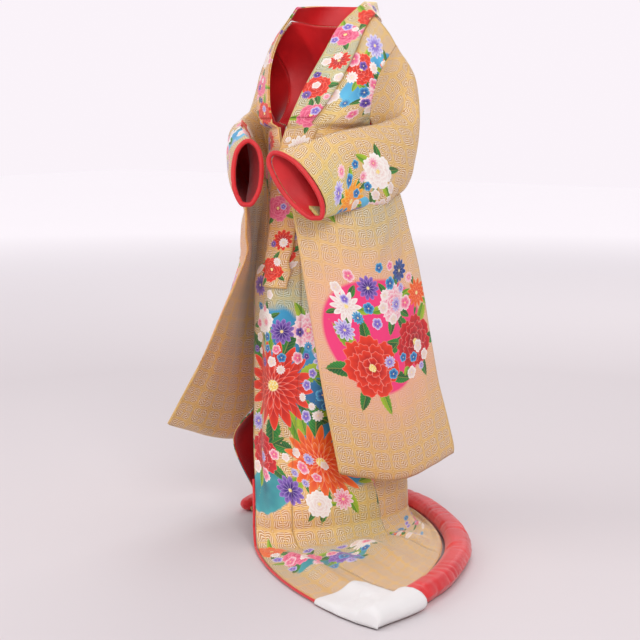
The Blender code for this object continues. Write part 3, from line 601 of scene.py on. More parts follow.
            outers.append(outer + [low, crease, rising] + below + [hang[3]])
            inners.append(inner + [low_in] + join_in + below_in + [hang[3]])
        return np.array(outers), np.array(inners)

    def roll_ring(self, place: float, grow: float, turns: Array) -> Array:
        """Gives the hem roll's section at a place, as points round it."""
        outer, out, width = self.hem_line(place)
        wide = float(width)
        high = self.roll_height * (0.75 + 0.25 * wide / 0.08)
        across = np.cos(turns) * (wide / 2 + grow)
        up = np.maximum(high / 2 + np.sin(turns) * (high / 2 + grow), 0.0)
        plan = (outer - out * wide * 0.5)[None] + out[None] * across[:, None]
        return np.concatenate([plan, up[:, None]], axis=1)


def catmull(t: Array) -> Array:
    """Gives the four Catmull-Rom weights at a place between two points."""
    return np.stack(
        [
            -0.5 * t + t * t - 0.5 * t**3,
            1 - 2.5 * t * t + 1.5 * t**3,
            0.5 * t + 2 * t * t - 1.5 * t**3,
            -0.5 * t * t + 0.5 * t**3,
        ]
    )


def read_grid(grid: Array, row: Array, col: Array) -> Array:
    """Reads a grid of points smoothly between its points.

    Args:
        grid: rows by columns of points.
        row: row numbers, with fractions.
        col: column numbers, with fractions.

    Returns:
        The points there.
    """
    rows, cols = grid.shape[:2]
    wide = np.concatenate([2 * grid[:1] - grid[1:2], grid, 2 * grid[-1:] - grid[-2:-1]])
    wide = np.concatenate([2 * wide[:, :1] - wide[:, 1:2], wide, 2 * wide[:, -1:] - wide[:, -2:-1]], 1)
    i = np.clip(np.floor(row).astype(int), 0, rows - 2)
    j = np.clip(np.floor(col).astype(int), 0, cols - 2)
    by_row, by_col = catmull(row - i), catmull(col - j)
    total = np.zeros((*np.shape(row), grid.shape[2]))
    for m in range(4):
        for n in range(4):
            total += (by_row[m] * by_col[n])[..., None] * wide[i + m, j + n]
    return total


@dataclass(frozen=True)
class Crease:
    """A soft ridge (height above nought) or trough between two places on the flat cloth."""

    x0: float
    y0: float
    x1: float
    y1: float
    width: float
    height: float

    def lift(self, x: Array, y: Array) -> Array:
        """Tells how far the crease lifts the cloth at places on it."""
        run = np.array([self.x1 - self.x0, self.y1 - self.y0])
        length = float(np.hypot(*run))
        unit = run / max(length, 1e-6)
        along = (x - self.x0) * unit[0] + (y - self.y0) * unit[1]
        bend = 0.25 * self.width * np.sin(along / max(length, 1e-6) * 5.1 + self.x0 * 40)
        off = (x - self.x0) * -unit[1] + (y - self.y0) * unit[0] + bend
        ends = np.clip(along / max(length, 1e-6), 0.0, 1.0)
        fade = np.sin(math.pi * ends) ** 0.7 * ((along > 0) & (along < length))
        return self.height * np.exp(-((off / self.width) ** 2)) * fade


@dataclass
class Patch:
    """A stretch of cloth: its points in space and its place on the flat pattern."""

    grid: Array
    marks: Array
    start: Array
    sign: float = 1.0
    creases: tuple[Crease, ...] = ()
    lift: float = 0.0012
    flip: bool = False
    step: float = 0.0075
    crown: float = 0.0

    @classmethod
    def evenly(cls, grid: Array, marks: Array, count: int, **rest: object) -> "Patch":
        """Makes a patch whose columns are evenly apart along each row.

        Args:
            grid: rows of points, heights above the floor.
            marks: each row's place along the flat cloth, rising.
            count: how many columns to make.
            rest: the other fields.

        Returns:
            The patch.
        """
        rows = []
        for line in grid:
            way = lengths(line)
            rows.append(read_line(np.linspace(0, way[-1], count), way, line))
        return cls(np.array(rows), marks, **rest)

    @property
    def widths(self) -> Array:
        """The length of each row."""
        return np.linalg.norm(np.diff(self.grid, axis=1), axis=2).sum(axis=1)

    def mesh(self) -> tuple[Array, Array, Array]:
        """Builds the patch's dense cloth.

        Returns:
            Points (rows, columns, 3), their flat x and their flat y.
        """
        rows, cols = self.grid.shape[:2]
        reach = abs(self.marks[-1] - self.marks[0])
        down = max(int(math.ceil(reach / self.step)), 4)
        wide = max(int(math.ceil(float(self.widths.mean()) / self.step)), 3)
        marks = np.linspace(self.marks[0], self.marks[-1], down + 1)
        row = np.interp(marks, self.marks, np.arange(rows))
        shares = np.linspace(0, 1, wide + 1)
        row_of, share_of = np.meshgrid(row, shares, indexing="ij")
        col_of = share_of * (cols - 1)
        points = read_grid(self.grid, row_of, col_of)
        normal = normals_of(points)
        if self.flip:
            normal = -normal
        if self.crown:
            near_top = ease(1 - (self.marks[-1] - marks) / self.crown)[:, None, None]
            normal = normal * (1 - near_top) + np.array([0.0, 0.0, 1.0]) * near_top
            normal = unit(normal)
        width = np.interp(row, np.arange(rows), self.widths)[:, None]
        start = np.interp(row, np.arange(rows), self.start)[:, None]
        x = start + self.sign * share_of * width
        y = np.broadcast_to(marks[:, None], x.shape)
        ripple = 0.00035 * (
            np.sin(x * 61 + 1.3 * np.sin(y * 23)) + np.sin(y * 47 + 1.7 * np.sin(x * 31 + y * 9))
        )
        lift = self.lift + ripple
        for crease in self.creases:
            lift = lift + crease.lift(x, y)
        edge = np.minimum(share_of, 1 - share_of) * width
        lift = self.lift + (lift - self.lift) * ease(edge / 0.012)
        points = points + normal * lift[..., None]
        points[..., 2] = np.maximum(points[..., 2], 0.0035)
        points[..., 2] -= SHOULDER_HEIGHT
        return points, x, y


class Layer(Enum):
    """The layers of a dyed pattern, lowest first."""

    CLOUD = 0
    LEAF = 1
    BLOOM = 2
    SPRIG = 3


class Ink(Enum):
    """Pairs of colours, from a motif's heart to its tip."""

    SCARLET = ((0.50, 0.004, 0.004), (0.93, 0.045, 0.008))
    CRIMSON = ((0.30, 0.002, 0.006), (0.74, 0.010, 0.014))
    ORANGE = ((0.80, 0.030, 0.004), (0.97, 0.20, 0.015))
    MARIGOLD = ((0.88, 0.17, 0.006), (0.99, 0.50, 0.02))
    ROSE = ((0.66, 0.010, 0.10), (0.95, 0.22, 0.36))
    BLUSH = ((0.86, 0.13, 0.28), (0.98, 0.84, 0.82))
    WHITE = ((0.84, 0.66, 0.60), (0.98, 0.96, 0.90))
    VIOLET = ((0.05, 0.010, 0.22), (0.34, 0.18, 0.62))
    LILAC = ((0.20, 0.11, 0.58), (0.82, 0.78, 0.94))
    INDIGO = ((0.004, 0.010, 0.12), (0.03, 0.12, 0.42))
    AZURE = ((0.01, 0.11, 0.38), (0.11, 0.54, 0.80))
    TEAL = ((0.004, 0.11, 0.17), (0.06, 0.40, 0.42))
    GREEN = ((0.002, 0.075, 0.020), (0.02, 0.30, 0.035))
    FRESH = ((0.03, 0.25, 0.008), (0.46, 0.62, 0.02))
    DEEP = ((0.004, 0.02, 0.17), (0.04, 0.36, 0.62))
    PINK_GROUND = ((0.94, 0.035, 0.20), (0.92, 0.04, 0.20))


@dataclass(frozen=True)
class Motif:
    """One flower, leaf or cloud: its layer, place, size, turn, colours and petals."""

    layer: Layer
    x: float
    y: float
    size: float
    ink: Ink
    turn: float = 0.0
    petals: float = 7.0
    rings: float = 3.0
    point: float = 0.0


@dataclass(frozen=True)
class Glow:
    """A soft airbrushed colour on the ground."""

    x: float
    y: float
    wide: float
    high: float
    colour: Triple
    strength: float
    cover: float = 0.25


class FlowerBed:
    """Lays out a generic arrangement of ordinary flowers on the flat cloth."""

    def __init__(self, seed: int) -> None:
        """Starts an empty bed with its own fixed sequence of small variations."""
        self.motifs: list[Motif] = []
        self.vary = np.random.default_rng(seed)

    def cloud(self, x: float, y: float, size: float, ink: Ink, turn: float = 0, slim: float = 0.6) -> None:
        """Adds a flat area of colour; slim is its height over its length."""
        self.motifs.append(Motif(Layer.CLOUD, x, y, size, ink, math.radians(turn), point=slim))

    def leaf(self, x: float, y: float, size: float, ink: Ink, turn: float, slim: float = 0.42) -> None:
        """Adds a leaf whose middle is at the place; slim is its width over its length."""
        self.motifs.append(Motif(Layer.LEAF, x, y, size, ink, turn, point=slim))

    def leaves_round(
        self, x: float, y: float, reach: float, size: float, inks: tuple[Ink, ...], count: int
    ) -> None:
        """Adds leaves that point away from a bloom."""
        first = self.vary.uniform(0, 2 * math.pi)
        for i in range(count):
            turn = first + 2 * math.pi * i / count + self.vary.uniform(-0.2, 0.2)
            out = reach + size * 0.45
            grown = size * self.vary.uniform(0.8, 1.15)
            at = (x + out * math.cos(turn), y + out * math.sin(turn))
            self.leaf(*at, grown, inks[i % len(inks)], turn, self.vary.uniform(0.36, 0.5))

    def mum(
        self, x: float, y: float, size: float, ink: Ink, leaves: int = 6, sprig: bool = False
    ) -> None:
        """Adds a chrysanthemum of many narrow petals."""
        turn = self.vary.uniform(0, 1)
        layer = Layer.SPRIG if sprig else Layer.BLOOM
        self.motifs.append(Motif(layer, x, y, size, ink, turn, 17.0 if size > 0.05 else 12.0, 4.0, 1.0))
        self.leaves_round(x, y, size * 0.86, size * 0.42, (Ink.GREEN, Ink.FRESH), leaves)

    def peony(
        self, x: float, y: float, size: float, ink: Ink, leaves: int = 6, sprig: bool = False
    ) -> None:
        """Adds a peony of broad ruffled petals."""
        turn = self.vary.uniform(0, 1)
        layer = Layer.SPRIG if sprig else Layer.BLOOM
        self.motifs.append(Motif(layer, x, y, size, ink, turn, 7.0 if size > 0.04 else 5.0, 4.0, 0.0))
        self.leaves_round(x, y, size * 0.86, size * 0.48, (Ink.GREEN, Ink.GREEN, Ink.FRESH), leaves)

    def daisy(self, x: float, y: float, size: float, ink: Ink, sprig: bool = True) -> None:
        """Adds a flat flower with one or two rings of petals."""
        layer = Layer.SPRIG if sprig else Layer.BLOOM
        self.motifs.append(Motif(layer, x, y, size, ink, self.vary.uniform(0, 1), 11.0, 2.0, 0.7))

    def plum(self, x: float, y: float, size: float, ink: Ink) -> None:
        """Adds a small flower of five round petals."""
        self.motifs.append(Motif(Layer.SPRIG, x, y, size, ink, self.vary.uniform(0, 1), 5.0, 1.0, 0.15))

    def scatter(
        self, x: float, y: float, wide: float, high: float, size: float, inks: tuple[Ink, ...], count: int
    ) -> None:
        """Scatters small flowers over an area, apart from each other."""
        taken: list[Triple] = [
            (m.x, m.y, m.size) for m in self.motifs if m.layer is Layer.SPRIG
        ]
        made = 0
        for _ in range(count * 14):
            if made >= count:
                break
            angle, out = self.vary.uniform(0, 2 * math.pi), math.sqrt(self.vary.uniform(0, 1))
            at = (x + wide * out * math.cos(angle), y + high * out * math.sin(angle))
            grown = size * self.vary.uniform(0.7, 1.25)
            if any(math.dist(at, (a, b)) < (c + grown) * 0.97 for a, b, c in taken):
                continue
            taken.append((*at, grown))
            ink = inks[made % len(inks)]
            if made % 3 == 2:
                self.daisy(*at, grown, ink)
            else:
                self.plum(*at, grown, ink)
            made += 1


@dataclass
class Pattern:
    """A panel's dyed pattern: the ground's colour, its glows and its motifs."""

    ground: Triple
    glows: tuple[Glow, ...] = ()
    motifs: tuple[Motif, ...] = ()

    def ground_at(self, x: Array, y: Array) -> Array:
        """Gives the ground's colour at places on the flat cloth, and how far dye covers its lines."""
        colour = np.broadcast_to(np.array(self.ground), (*x.shape, 3)).copy()
        cover = np.zeros(x.shape)
        for glow in self.glows:
            off = ((x - glow.x) / glow.wide) ** 2 + ((y - glow.y) / glow.high) ** 2
            share = (glow.strength * np.exp(-(off**1.5)))[..., None]
            colour = colour * (1 - share) + np.array(glow.colour) * share
            cover = np.maximum(cover, share[..., 0] * glow.cover)
        return np.concatenate([colour, cover[..., None]], axis=-1)


def motif_marks(pattern: Pattern, layer: Layer, x: Array, y: Array, reach: float) -> dict[str, Array]:
    """Gives each face of a cloth the motif of a layer that covers it.

    Args:
        pattern: the panel's pattern.
        layer: the layer.
        x: flat x of each face's corners, faces by corners.
        y: flat y of the same.
        reach: half a face's size, by which motifs are taken larger.

    Returns:
        The corners' place in their motif, and each face's petals and colours.
    """
    faces = x.shape[0]
    place = np.zeros((*x.shape, 3))
    petals = np.zeros((faces, 3))
    near = np.zeros((faces, 3))
    far = np.zeros((faces, 3))
    best = np.full(faces, np.inf)
    middle_x, middle_y = x.mean(axis=1), y.mean(axis=1)
    for motif in (m for m in pattern.motifs if m.layer is layer):
        cos, sin = math.cos(motif.turn), math.sin(motif.turn)
        p = ((middle_x - motif.x) * cos + (middle_y - motif.y) * sin) / motif.size
        q = (-(middle_x - motif.x) * sin + (middle_y - motif.y) * cos) / motif.size
        slim = motif.point if layer in (Layer.CLOUD, Layer.LEAF) else 1.0
        far_off = np.hypot(p, q / slim)
        grown = 1.0 + reach / (motif.size * slim)
        hit = (far_off < grown) & (far_off / grown < best)
        best[hit] = far_off[hit] / grown
        dx, dy = x[hit] - motif.x, y[hit] - motif.y
        place[hit, :, 0] = (dx * cos + dy * sin) / motif.size
        place[hit, :, 1] = (-dx * sin + dy * cos) / motif.size
        place[hit, :, 2] = 1.0
        petals[hit] = (motif.petals, motif.rings, motif.point)
        near[hit], far[hit] = motif.ink.value
    return {"place": place, "petals": petals, "near": near, "far": far}


WELD = 4e-5  # points this near become one
MOTIF_REACH = 0.0085  # over half a face, so that no motif is cut off


def cloth_piece(
    name: str,
    parts: Iterable[tuple[Patch, Pattern]],
    finishes: Finishes,
    wall: float = 0.0024,
) -> Object:
    """Builds one cloth piece from its patches, with its pattern's marks and its wall.

    Args:
        name: the piece's name.
        parts: each patch with its pattern.
        finishes: the outer and the inner material.
        wall: the cloth's thickness.

    Returns:
        The piece.
    """
    points, quads, xs, ys, owner = [], [], [], [], []
    count = 0
    patterns: list[Pattern] = []
    for index, (patch, pattern) in enumerate(parts):
        grid, x, y = patch.mesh()
        rows, cols = x.shape
        ids = np.arange(rows * cols).reshape(rows, cols) + count
        faces = np.stack([ids[:-1, :-1], ids[1:, :-1], ids[1:, 1:], ids[:-1, 1:]], -1).reshape(-1, 4)
        if patch.flip:
            faces = faces[:, ::-1]
        points.append(grid.reshape(-1, 3))
        xs.append(x.reshape(-1))
        ys.append(y.reshape(-1))
        quads.append(faces)
        owner.append(np.full(len(faces), index))
        patterns.append(pattern)
        count += rows * cols
    point, quad = np.concatenate(points), np.concatenate(quads)
    flat_x, flat_y = np.concatenate(xs)[quad], np.concatenate(ys)[quad]
    owner_of = np.concatenate(owner)
    near = np.round(point / WELD).astype(int)
    _, first, weld = np.unique(near, axis=0, return_index=True, return_inverse=True)
    point, quad = point[first], weld.reshape(-1)[quad]
    data = bpy.data.meshes.new(name)
    data.from_pydata(point.tolist(), [], quad.tolist())
    ground = np.zeros((len(quad), 4, 4))
    marks = {
        layer: {
            "place": np.zeros((len(quad), 4, 3)),
            "petals": np.zeros((len(quad), 3)),
            "near": np.zeros((len(quad), 3)),
            "far": np.zeros((len(quad), 3)),
        }
        for layer in Layer
    }
    for index, pattern in enumerate(patterns):
        mine = owner_of == index
        ground[mine] = pattern.ground_at(flat_x[mine], flat_y[mine])
        for layer in Layer:
            found = motif_marks(pattern, layer, flat_x[mine], flat_y[mine], MOTIF_REACH)
            for key, values in found.items():
                marks[layer][key][mine] = values
    flat = data.uv_layers.new(name="cloth")
    flat.uv.foreach_set("vector", np.stack([flat_x, flat_y], -1).reshape(-1).astype(np.float32))
    tint = data.attributes.new("ground", "FLOAT_COLOR", "CORNER")
    tint.data.foreach_set("color", ground.reshape(-1).astype(np.float32))
    for layer, found in marks.items():
        if not found["place"].any():
            continue
        for key, domain in (("place", "CORNER"), ("petals", "FACE"), ("near", "FACE"), ("far", "FACE")):
            made = data.attributes.new(f"{layer.name.lower()}_{key}", "FLOAT_VECTOR", domain)
            made.data.foreach_set("vector", found[key].reshape(-1).astype(np.float32))
    data.validate()
    data.shade_smooth()
    piece = bpy.data.objects.new(name, data)
    bpy.context.scene.collection.objects.link(piece)
    piece.data.materials.append(finishes[0])
    piece.data.materials.append(finishes[1])
    if wall:
        solid = piece.modifiers.new("wall", "SOLIDIFY")
        solid.thickness = wall
        solid.offset = -1.0
        solid.use_even_offset = False
        solid.material_offset = 1
        solid.material_offset_rim = 0
    return piece


@dataclass
class SleeveCloth(Patch):
    """One face of a sleeve, cut out of its closed rings."""

    ready: tuple[Array, Array, Array] | None = None

    def mesh(self) -> tuple[Array, Array, Array]:
        """Gives the face's points with their flat x and y."""
        return self.ready


class Wire:
    """Adds shader nodes to a tree, so that a finish reads like its formula."""

    def __init__(self, tree: NodeTree) -> None:
        """Works on a tree."""
        self.tree = tree

    def node(self, kind: str, **settings: object) -> Node:
        """Adds a node with its settings."""
        made = self.tree.nodes.new(kind)
        for key, value in settings.items():
            setattr(made, key, value)
        return made

    def feed(self, socket: NodeSocket, value: object) -> None:
        """Links an output, or sets a value, to an input."""
        if isinstance(value, NodeSocket):
            self.tree.links.new(value, socket)
        elif isinstance(value, tuple) and len(value) == 3 and socket.type == "RGBA":
            socket.default_value = (*value, 1.0)
        else:
            socket.default_value = value

    def math(self, operation: str, *values: object, clamp: bool = False) -> NodeSocket:
        """Works out one sum."""
        made = self.node("ShaderNodeMath", operation=operation, use_clamp=clamp)
        for socket, value in zip(made.inputs, values):
            self.feed(socket, value)
        return made.outputs[0]

    times_plus = partialmethod(math, "MULTIPLY_ADD")
    times = partialmethod(math, "MULTIPLY")
    plus = partialmethod(math, "ADD")
    less = partialmethod(math, "SUBTRACT")
    over = partialmethod(math, "DIVIDE")
    most = partialmethod(math, "MAXIMUM")
    least = partialmethod(math, "MINIMUM")
    power = partialmethod(math, "POWER")
    sine = partialmethod(math, "SINE")
    size = partialmethod(math, "ABSOLUTE")
    root = partialmethod(math, "SQRT")
    fraction = partialmethod(math, "FRACT")

    def distance(self, x: object, y: object) -> NodeSocket:
        """Works out how far a place is from the origin."""
        return self.root(self.plus(self.times(x, x), self.times(y, y)))

    def mix(self, share: object, first: object, second: object, blend: str = "MIX") -> NodeSocket:
        """Mixes two colours."""
        made = self.node("ShaderNodeMix", data_type="RGBA", blend_type=blend, clamp_factor=True)
        self.feed(made.inputs[0], share)
        self.feed(made.inputs[6], first)
        self.feed(made.inputs[7], second)
        return made.outputs[2]

    def ramp(self, value: object, low: float, high: float) -> NodeSocket:
        """Goes from nought at low to one at high."""
        made = self.node("ShaderNodeMapRange", clamp=True)
        for socket, given in zip(made.inputs, (value, low, high, 0.0, 1.0)):
            self.feed(socket, given)
        return made.outputs[0]

    def split(self, vector: NodeSocket) -> tuple[NodeSocket, ...]:
        """Parts a vector into its three numbers."""
        made = self.node("ShaderNodeSeparateXYZ")
        self.feed(made.inputs[0], vector)
        return tuple(made.outputs[:3])

    def vector(self, name: str) -> NodeSocket:
        """Reads one of the cloth's own marks."""
        return self.node("ShaderNodeAttribute", attribute_name=name).outputs["Vector"]

    def noise(self, where: object, scale: float, detail: float = 2.0) -> NodeSocket:
        """Reads a soft noise."""
        made = self.node("ShaderNodeTexNoise")
        self.feed(made.inputs["Vector"], where)
        made.inputs["Scale"].default_value = scale
        made.inputs["Detail"].default_value = detail
        return made.outputs[0]

    def cloth(self) -> NodeSocket:
        """Reads the place on the flat cloth, in metres."""
        return self.node("ShaderNodeUVMap", uv_map="cloth").outputs[0]


GILT = (0.82, 0.53, 0.13)
IVORY = (0.99, 0.94, 0.80)


def new_group(name: str, inputs: Sockets, outputs: Sockets) -> tuple[NodeTree, Node, Node]:
    """Starts a group of shader nodes.

    Args:
        name: its name.
        inputs: name and kind of each input.
        outputs: the same of each output.

    Returns:
        The tree, its input node and its output node.
    """
    tree = bpy.data.node_groups.new(name, "ShaderNodeTree")
    for direction, sockets in (("INPUT", inputs), ("OUTPUT", outputs)):
        for label, kind in sockets:
            tree.interface.new_socket(label, in_out=direction, socket_type=f"NodeSocket{kind}")
    return tree, tree.nodes.new("NodeGroupInput"), tree.nodes.new("NodeGroupOutput")


MOTIF_INPUTS = (("Place", "Vector"), ("Petals", "Vector"), ("Near", "Color"), ("Far", "Color"))
MOTIF_OUTPUTS = (("Colour", "Color"), ("Mask", "Float"), ("Relief", "Float"), ("Gilt", "Float"))


def petal_ring_group() -> NodeTree:
    """Makes the group that draws one ring of petals."""
    tree, given, made = new_group(
        "petal ring",
        tuple((label, "Float") for label in ("Radius", "Turn", "Count", "Reach", "Point")),
        (("Inside", "Float"), ("Rim", "Float"), ("Shade", "Float")),
    )
    w = Wire(tree)
    radius, turn, count, reach, point = given.outputs[:5]
    phase = w.less(w.fraction(w.times(turn, count)), 0.5)
    gap = w.times(w.size(phase), 2.0)
    depth = w.times_plus(point, 0.22, 0.16)
    power = w.times_plus(point, -1.2, 2.6)
    ruffle = w.sine(w.times(phase, 6 * math.pi))
    ruffle = w.times(w.times(ruffle, 0.035), w.less(1.0, point))
    cut = w.times(depth, w.power(gap, power))
    edge = w.times(reach, w.plus(w.less(1.0, cut), ruffle))
    inside = w.less(edge, radius)
    rim = w.ramp(inside, 0.032, 0.012)
    side = w.over(w.times(w.less(1.0, gap), radius), count)
    rim = w.most(rim, w.ramp(side, 0.0065, 0.002))
    w.feed(made.inputs[0], w.ramp(inside, 0.0, 0.012))
    w.feed(made.inputs[1], rim)
    w.feed(made.inputs[2], w.ramp(w.over(radius, edge), 0.45, 1.0))
    return tree


def rosette_group(ring: NodeTree) -> NodeTree:
    """Makes the group that draws a whole flower of up to four rings of petals."""
    tree, given, made = new_group("rosette", MOTIF_INPUTS, MOTIF_OUTPUTS)
    w = Wire(tree)
    p, q, shown = w.split(given.outputs[0])
    count, rings, point = w.split(given.outputs[1])
    near, far = given.outputs[2], given.outputs[3]
    radius = w.distance(p, q)
    turn = w.over(w.math("ARCTAN2", q, p), 2 * math.pi)
    rough = w.less(w.noise(given.outputs[0], 5.0), 0.5)
    soft = w.times(w.less(1.1, point), 0.16)
    radius = w.times_plus(rough, soft, radius)
    colour, mask, relief, gilt = near, None, 0.0, 0.0
    for k in range(4):
        group = w.node("ShaderNodeGroup", node_tree=ring)
        reach = 0.97 - 0.22 * k
        shifted = w.plus(turn, w.over(0.5 * k, count))
        fewer = w.less(count, w.times(float(k > 1), 2.0))
        for socket, value in zip(group.inputs, (radius, shifted, fewer, reach, point)):
            w.feed(socket, value)
        inside, rim, shade = group.outputs[:3]
        inside = w.times(inside, w.ramp(rings, k + 0.4, k + 0.6))
        petal = w.mix(w.power(shade, 1.4), near, far)
        petal = w.mix(w.times(rim, 0.6), petal, w.mix(0.42, far, IVORY))
        colour = petal if k == 0 else w.mix(inside, colour, petal)
        mask = inside if k == 0 else mask
        relief = w.times_plus(inside, w.times_plus(shade, -0.4, 0.8), relief)
        if k == 0:
            gilt = w.times(rim, 0.6)
    heart = w.ramp(radius, 0.13, 0.11)
    dots = w.ramp(w.noise(given.outputs[0], 26.0, 0.0), 0.48, 0.56)
    colour = w.mix(heart, colour, w.mix(dots, (0.95, 0.66, 0.10), (0.98, 0.90, 0.55)))
    w.feed(made.inputs[0], colour)
    w.feed(made.inputs[1], w.times(mask, shown, clamp=True))
    w.feed(made.inputs[2], relief)
    w.feed(made.inputs[3], gilt)
    return tree


def leaf_group() -> NodeTree:
    """Makes the group that draws a leaf with its midrib and veins."""
    tree, given, made = new_group("leaf", MOTIF_INPUTS, MOTIF_OUTPUTS)
    w = Wire(tree)
    p, q, shown = w.split(given.outputs[0])
    slim = w.split(given.outputs[1])[2]
    near, far = given.outputs[2], given.outputs[3]
    body = w.power(w.most(w.less(1.0, w.times(p, p)), 0.0), 0.8)
    half = w.times(w.times(body, slim), w.times_plus(p, -0.24, 0.95))
    away = w.size(q)
    notch = w.times(w.sine(w.times(p, 26.0)), 0.022)
    inside = w.less(w.plus(half, notch), away)
    veins = w.sine(w.times(w.less(p, away), 30.0))
    veins = w.times(w.ramp(veins, 0.86, 0.97), 0.55)
    line = w.most(w.ramp(away, 0.035, 0.015), veins)
    line = w.most(line, w.ramp(inside, 0.045, 0.02))
    halves = w.ramp(q, -0.02, 0.02)
    colour = w.mix(w.times_plus(halves, 0.45, w.times(away, 1.1)), near, far)
    colour = w.mix(w.times(line, 0.6), colour, w.mix(0.5, far, GILT))
    w.feed(made.inputs[0], colour)
    w.feed(made.inputs[1], w.times(w.ramp(inside, 0.0, 0.012), shown, clamp=True))
    w.feed(made.inputs[2], w.ramp(inside, 0.0, 0.2))
    w.feed(made.inputs[3], line)
    return tree


def cloud_group() -> NodeTree:
    """Makes the group that draws a flat area of colour with a soft, wavy edge."""
    tree, given, made = new_group("cloud", MOTIF_INPUTS, MOTIF_OUTPUTS)
    w = Wire(tree)
    p, q, shown = w.split(given.outputs[0])
    slim = w.split(given.outputs[1])[2]
    tall = w.over(q, slim)
    radius = w.distance(p, tall)
    wave = w.times(w.noise(given.outputs[0], 3.2), 0.75)
    radius = w.times_plus(wave, w.less(0.98, slim), radius)
    tone = w.noise(given.outputs[0], 2.3, 1.0)
    colour = w.mix(w.ramp(w.plus(w.times(radius, 0.6), tone), 0.45, 1.15), *given.outputs[2:4])
    w.feed(made.inputs[0], colour)
    w.feed(made.inputs[1], w.times(w.ramp(radius, 0.985, 0.93), shown, clamp=True))
    w.feed(made.inputs[2], 0.0)
    w.feed(made.inputs[3], w.times(w.ramp(radius, 0.90, 0.93), 0.5))
    return tree


def start_finish(name: str) -> tuple[Material, Wire, Node]:
    """Makes a material and gives its wiring and its shader."""
    made = bpy.data.materials.new(name)
    made.use_nodes = True
    return made, Wire(made.node_tree), made.node_tree.nodes["Principled BSDF"]


def bump(w: Wire, shader: Node, height: object, depth: float) -> None:
    """Gives a shader a fine relief of that depth in metres."""
    node = w.node("ShaderNodeBump")
    node.inputs["Strength"].default_value = 1.0
    node.inputs["Distance"].default_value = depth
    w.feed(node.inputs["Height"], height)
    w.feed(shader.inputs["Normal"], node.outputs[0])


@dataclass(frozen=True)
class Brocade:
    """Figured silk: a woven lattice of fine curved lines, with a dyed pattern over it."""

    name: str = "figured silk"
    cell: float = 0.054
    lines: float = 8.7  # rings in a cell's width
    stray: float = 0.16  # how far the cells waver, in cells
    square: float = 4.0  # how square the rings are
    bent: float = 0.30  # how far the rings bend at the diagonals
    border: tuple[float, float] = (0.425, 0.455)  # where it starts and where it is full
    knot: tuple[float, float] = (0.20, 0.165)  # the same of the square at a crossing
    cleft: tuple[float, float] = (0.030, 0.012)  # the same of a knot's diagonal lines
    slit: tuple[float, float] = (0.020, 0.008)  # the same of its straight lines
    middle_line: tuple[float, float] = (0.035, 0.015)  # the same of the line across a cell
    shade: Triple = (0.66, 0.47, 0.26)  # between the pale lines
    thread: float = 0.0013
    roughness: float = 0.46
    sheen: float = 0.25
    relief: float = 0.0005

    def ground(self, w: Wire) -> tuple[NodeSocket, NodeSocket, NodeSocket]:
        """Draws the woven ground.

        Args:
            w: the material's wiring.

        Returns:
            Its colour, its height and how golden it is.
        """
        x, y, _ = w.split(w.cloth())
        stray = w.times(w.less(w.noise(w.cloth(), 30.0), 0.5), self.stray)
        px = w.less(w.fraction(w.times_plus(x, 1 / self.cell, stray)), 0.5)
        py = w.less(w.fraction(w.times_plus(y, 1 / self.cell, stray)), 0.5)
        ax, ay = w.size(px), w.size(py)

        def away(cx: float, cy: float) -> NodeSocket:
            dx, dy = w.less(ax, cx), w.less(ay, cy)
            dx, dy = w.power(dx, self.square), w.power(dy, self.square)
            return w.power(w.plus(dx, dy), 1 / self.square)

        middle, cornerwise = away(0.0, 0.0), away(0.5, 0.5)
        petal = w.times(w.size(w.less(ax, ay)), 1.3)
        nearest = w.plus(middle, w.times(petal, self.bent))
        waves = w.sine(w.times(nearest, 2 * math.pi * self.lines))
        line = w.ramp(waves, -0.30, 0.40)
        cross = w.most(w.ramp(middle, *self.border), w.ramp(cornerwise, *self.knot))
        star = w.most(w.ramp(petal, *self.cleft), w.ramp(w.least(ax, ay), *self.slit))
        cross = w.less(cross, w.times(w.times(star, cross), 0.7))
        cross = w.most(cross, w.ramp(w.least(ax, ay), *self.middle_line))
        dyed = w.node("ShaderNodeAttribute", attribute_name="ground")
        tint = dyed.outputs["Color"]
        dark = w.mix(1.0, tint, self.shade, "MULTIPLY")
        light = w.mix(0.55, tint, IVORY)
        colour = w.mix(line, dark, light)
        colour = w.mix(w.times(cross, 0.85), colour, w.mix(0.55, tint, GILT))
        colour = w.mix(dyed.outputs["Alpha"], colour, tint)
        golden = w.most(w.less(1.0, line), cross)
        return colour, w.times(w.most(line, cross), 0.6), golden

    def make(self) -> Material:
        """Makes the material."""
        made, w, shader = start_finish(self.name)
        ring = petal_ring_group()
        rosette = rosette_group(ring)
        groups = {Layer.CLOUD: cloud_group(), Layer.LEAF: leaf_group()}
        groups |= {Layer.BLOOM: rosette, Layer.SPRIG: rosette}
        colour, height, golden = self.ground(w)
        for layer in Layer:
            group = w.node("ShaderNodeGroup", node_tree=groups[layer])
            prefix = layer.name.lower()
            for socket, key in zip(group.inputs, ("place", "petals", "near", "far")):
                w.feed(socket, w.vector(f"{prefix}_{key}"))
            drawn, mask, relief, gilt = group.outputs[:4]
            colour = w.mix(mask, colour, drawn)
            keep = w.less(1.0, mask)
            height = w.times_plus(w.times(relief, 0.5), mask, w.times(height, keep))
            golden = w.times_plus(gilt, mask, w.times(golden, keep))
        x, y, _ = w.split(w.cloth())
        warp = w.sine(w.times(x, 2 * math.pi / self.thread))
        weft = w.sine(w.times(y, 2 * math.pi / self.thread))
        weave = w.times(w.plus(warp, weft), 0.09)
        w.feed(shader.inputs["Base Color"], colour)
        w.feed(shader.inputs["Metallic"], w.times(golden, 0.22))
        w.feed(shader.inputs["Roughness"], w.times_plus(golden, -0.10, self.roughness))
        shader.inputs["Sheen Weight"].default_value = self.sheen
        shader.inputs["Sheen Roughness"].default_value = 0.4
        bump(w, shader, w.plus(height, weave), self.relief)
        return made


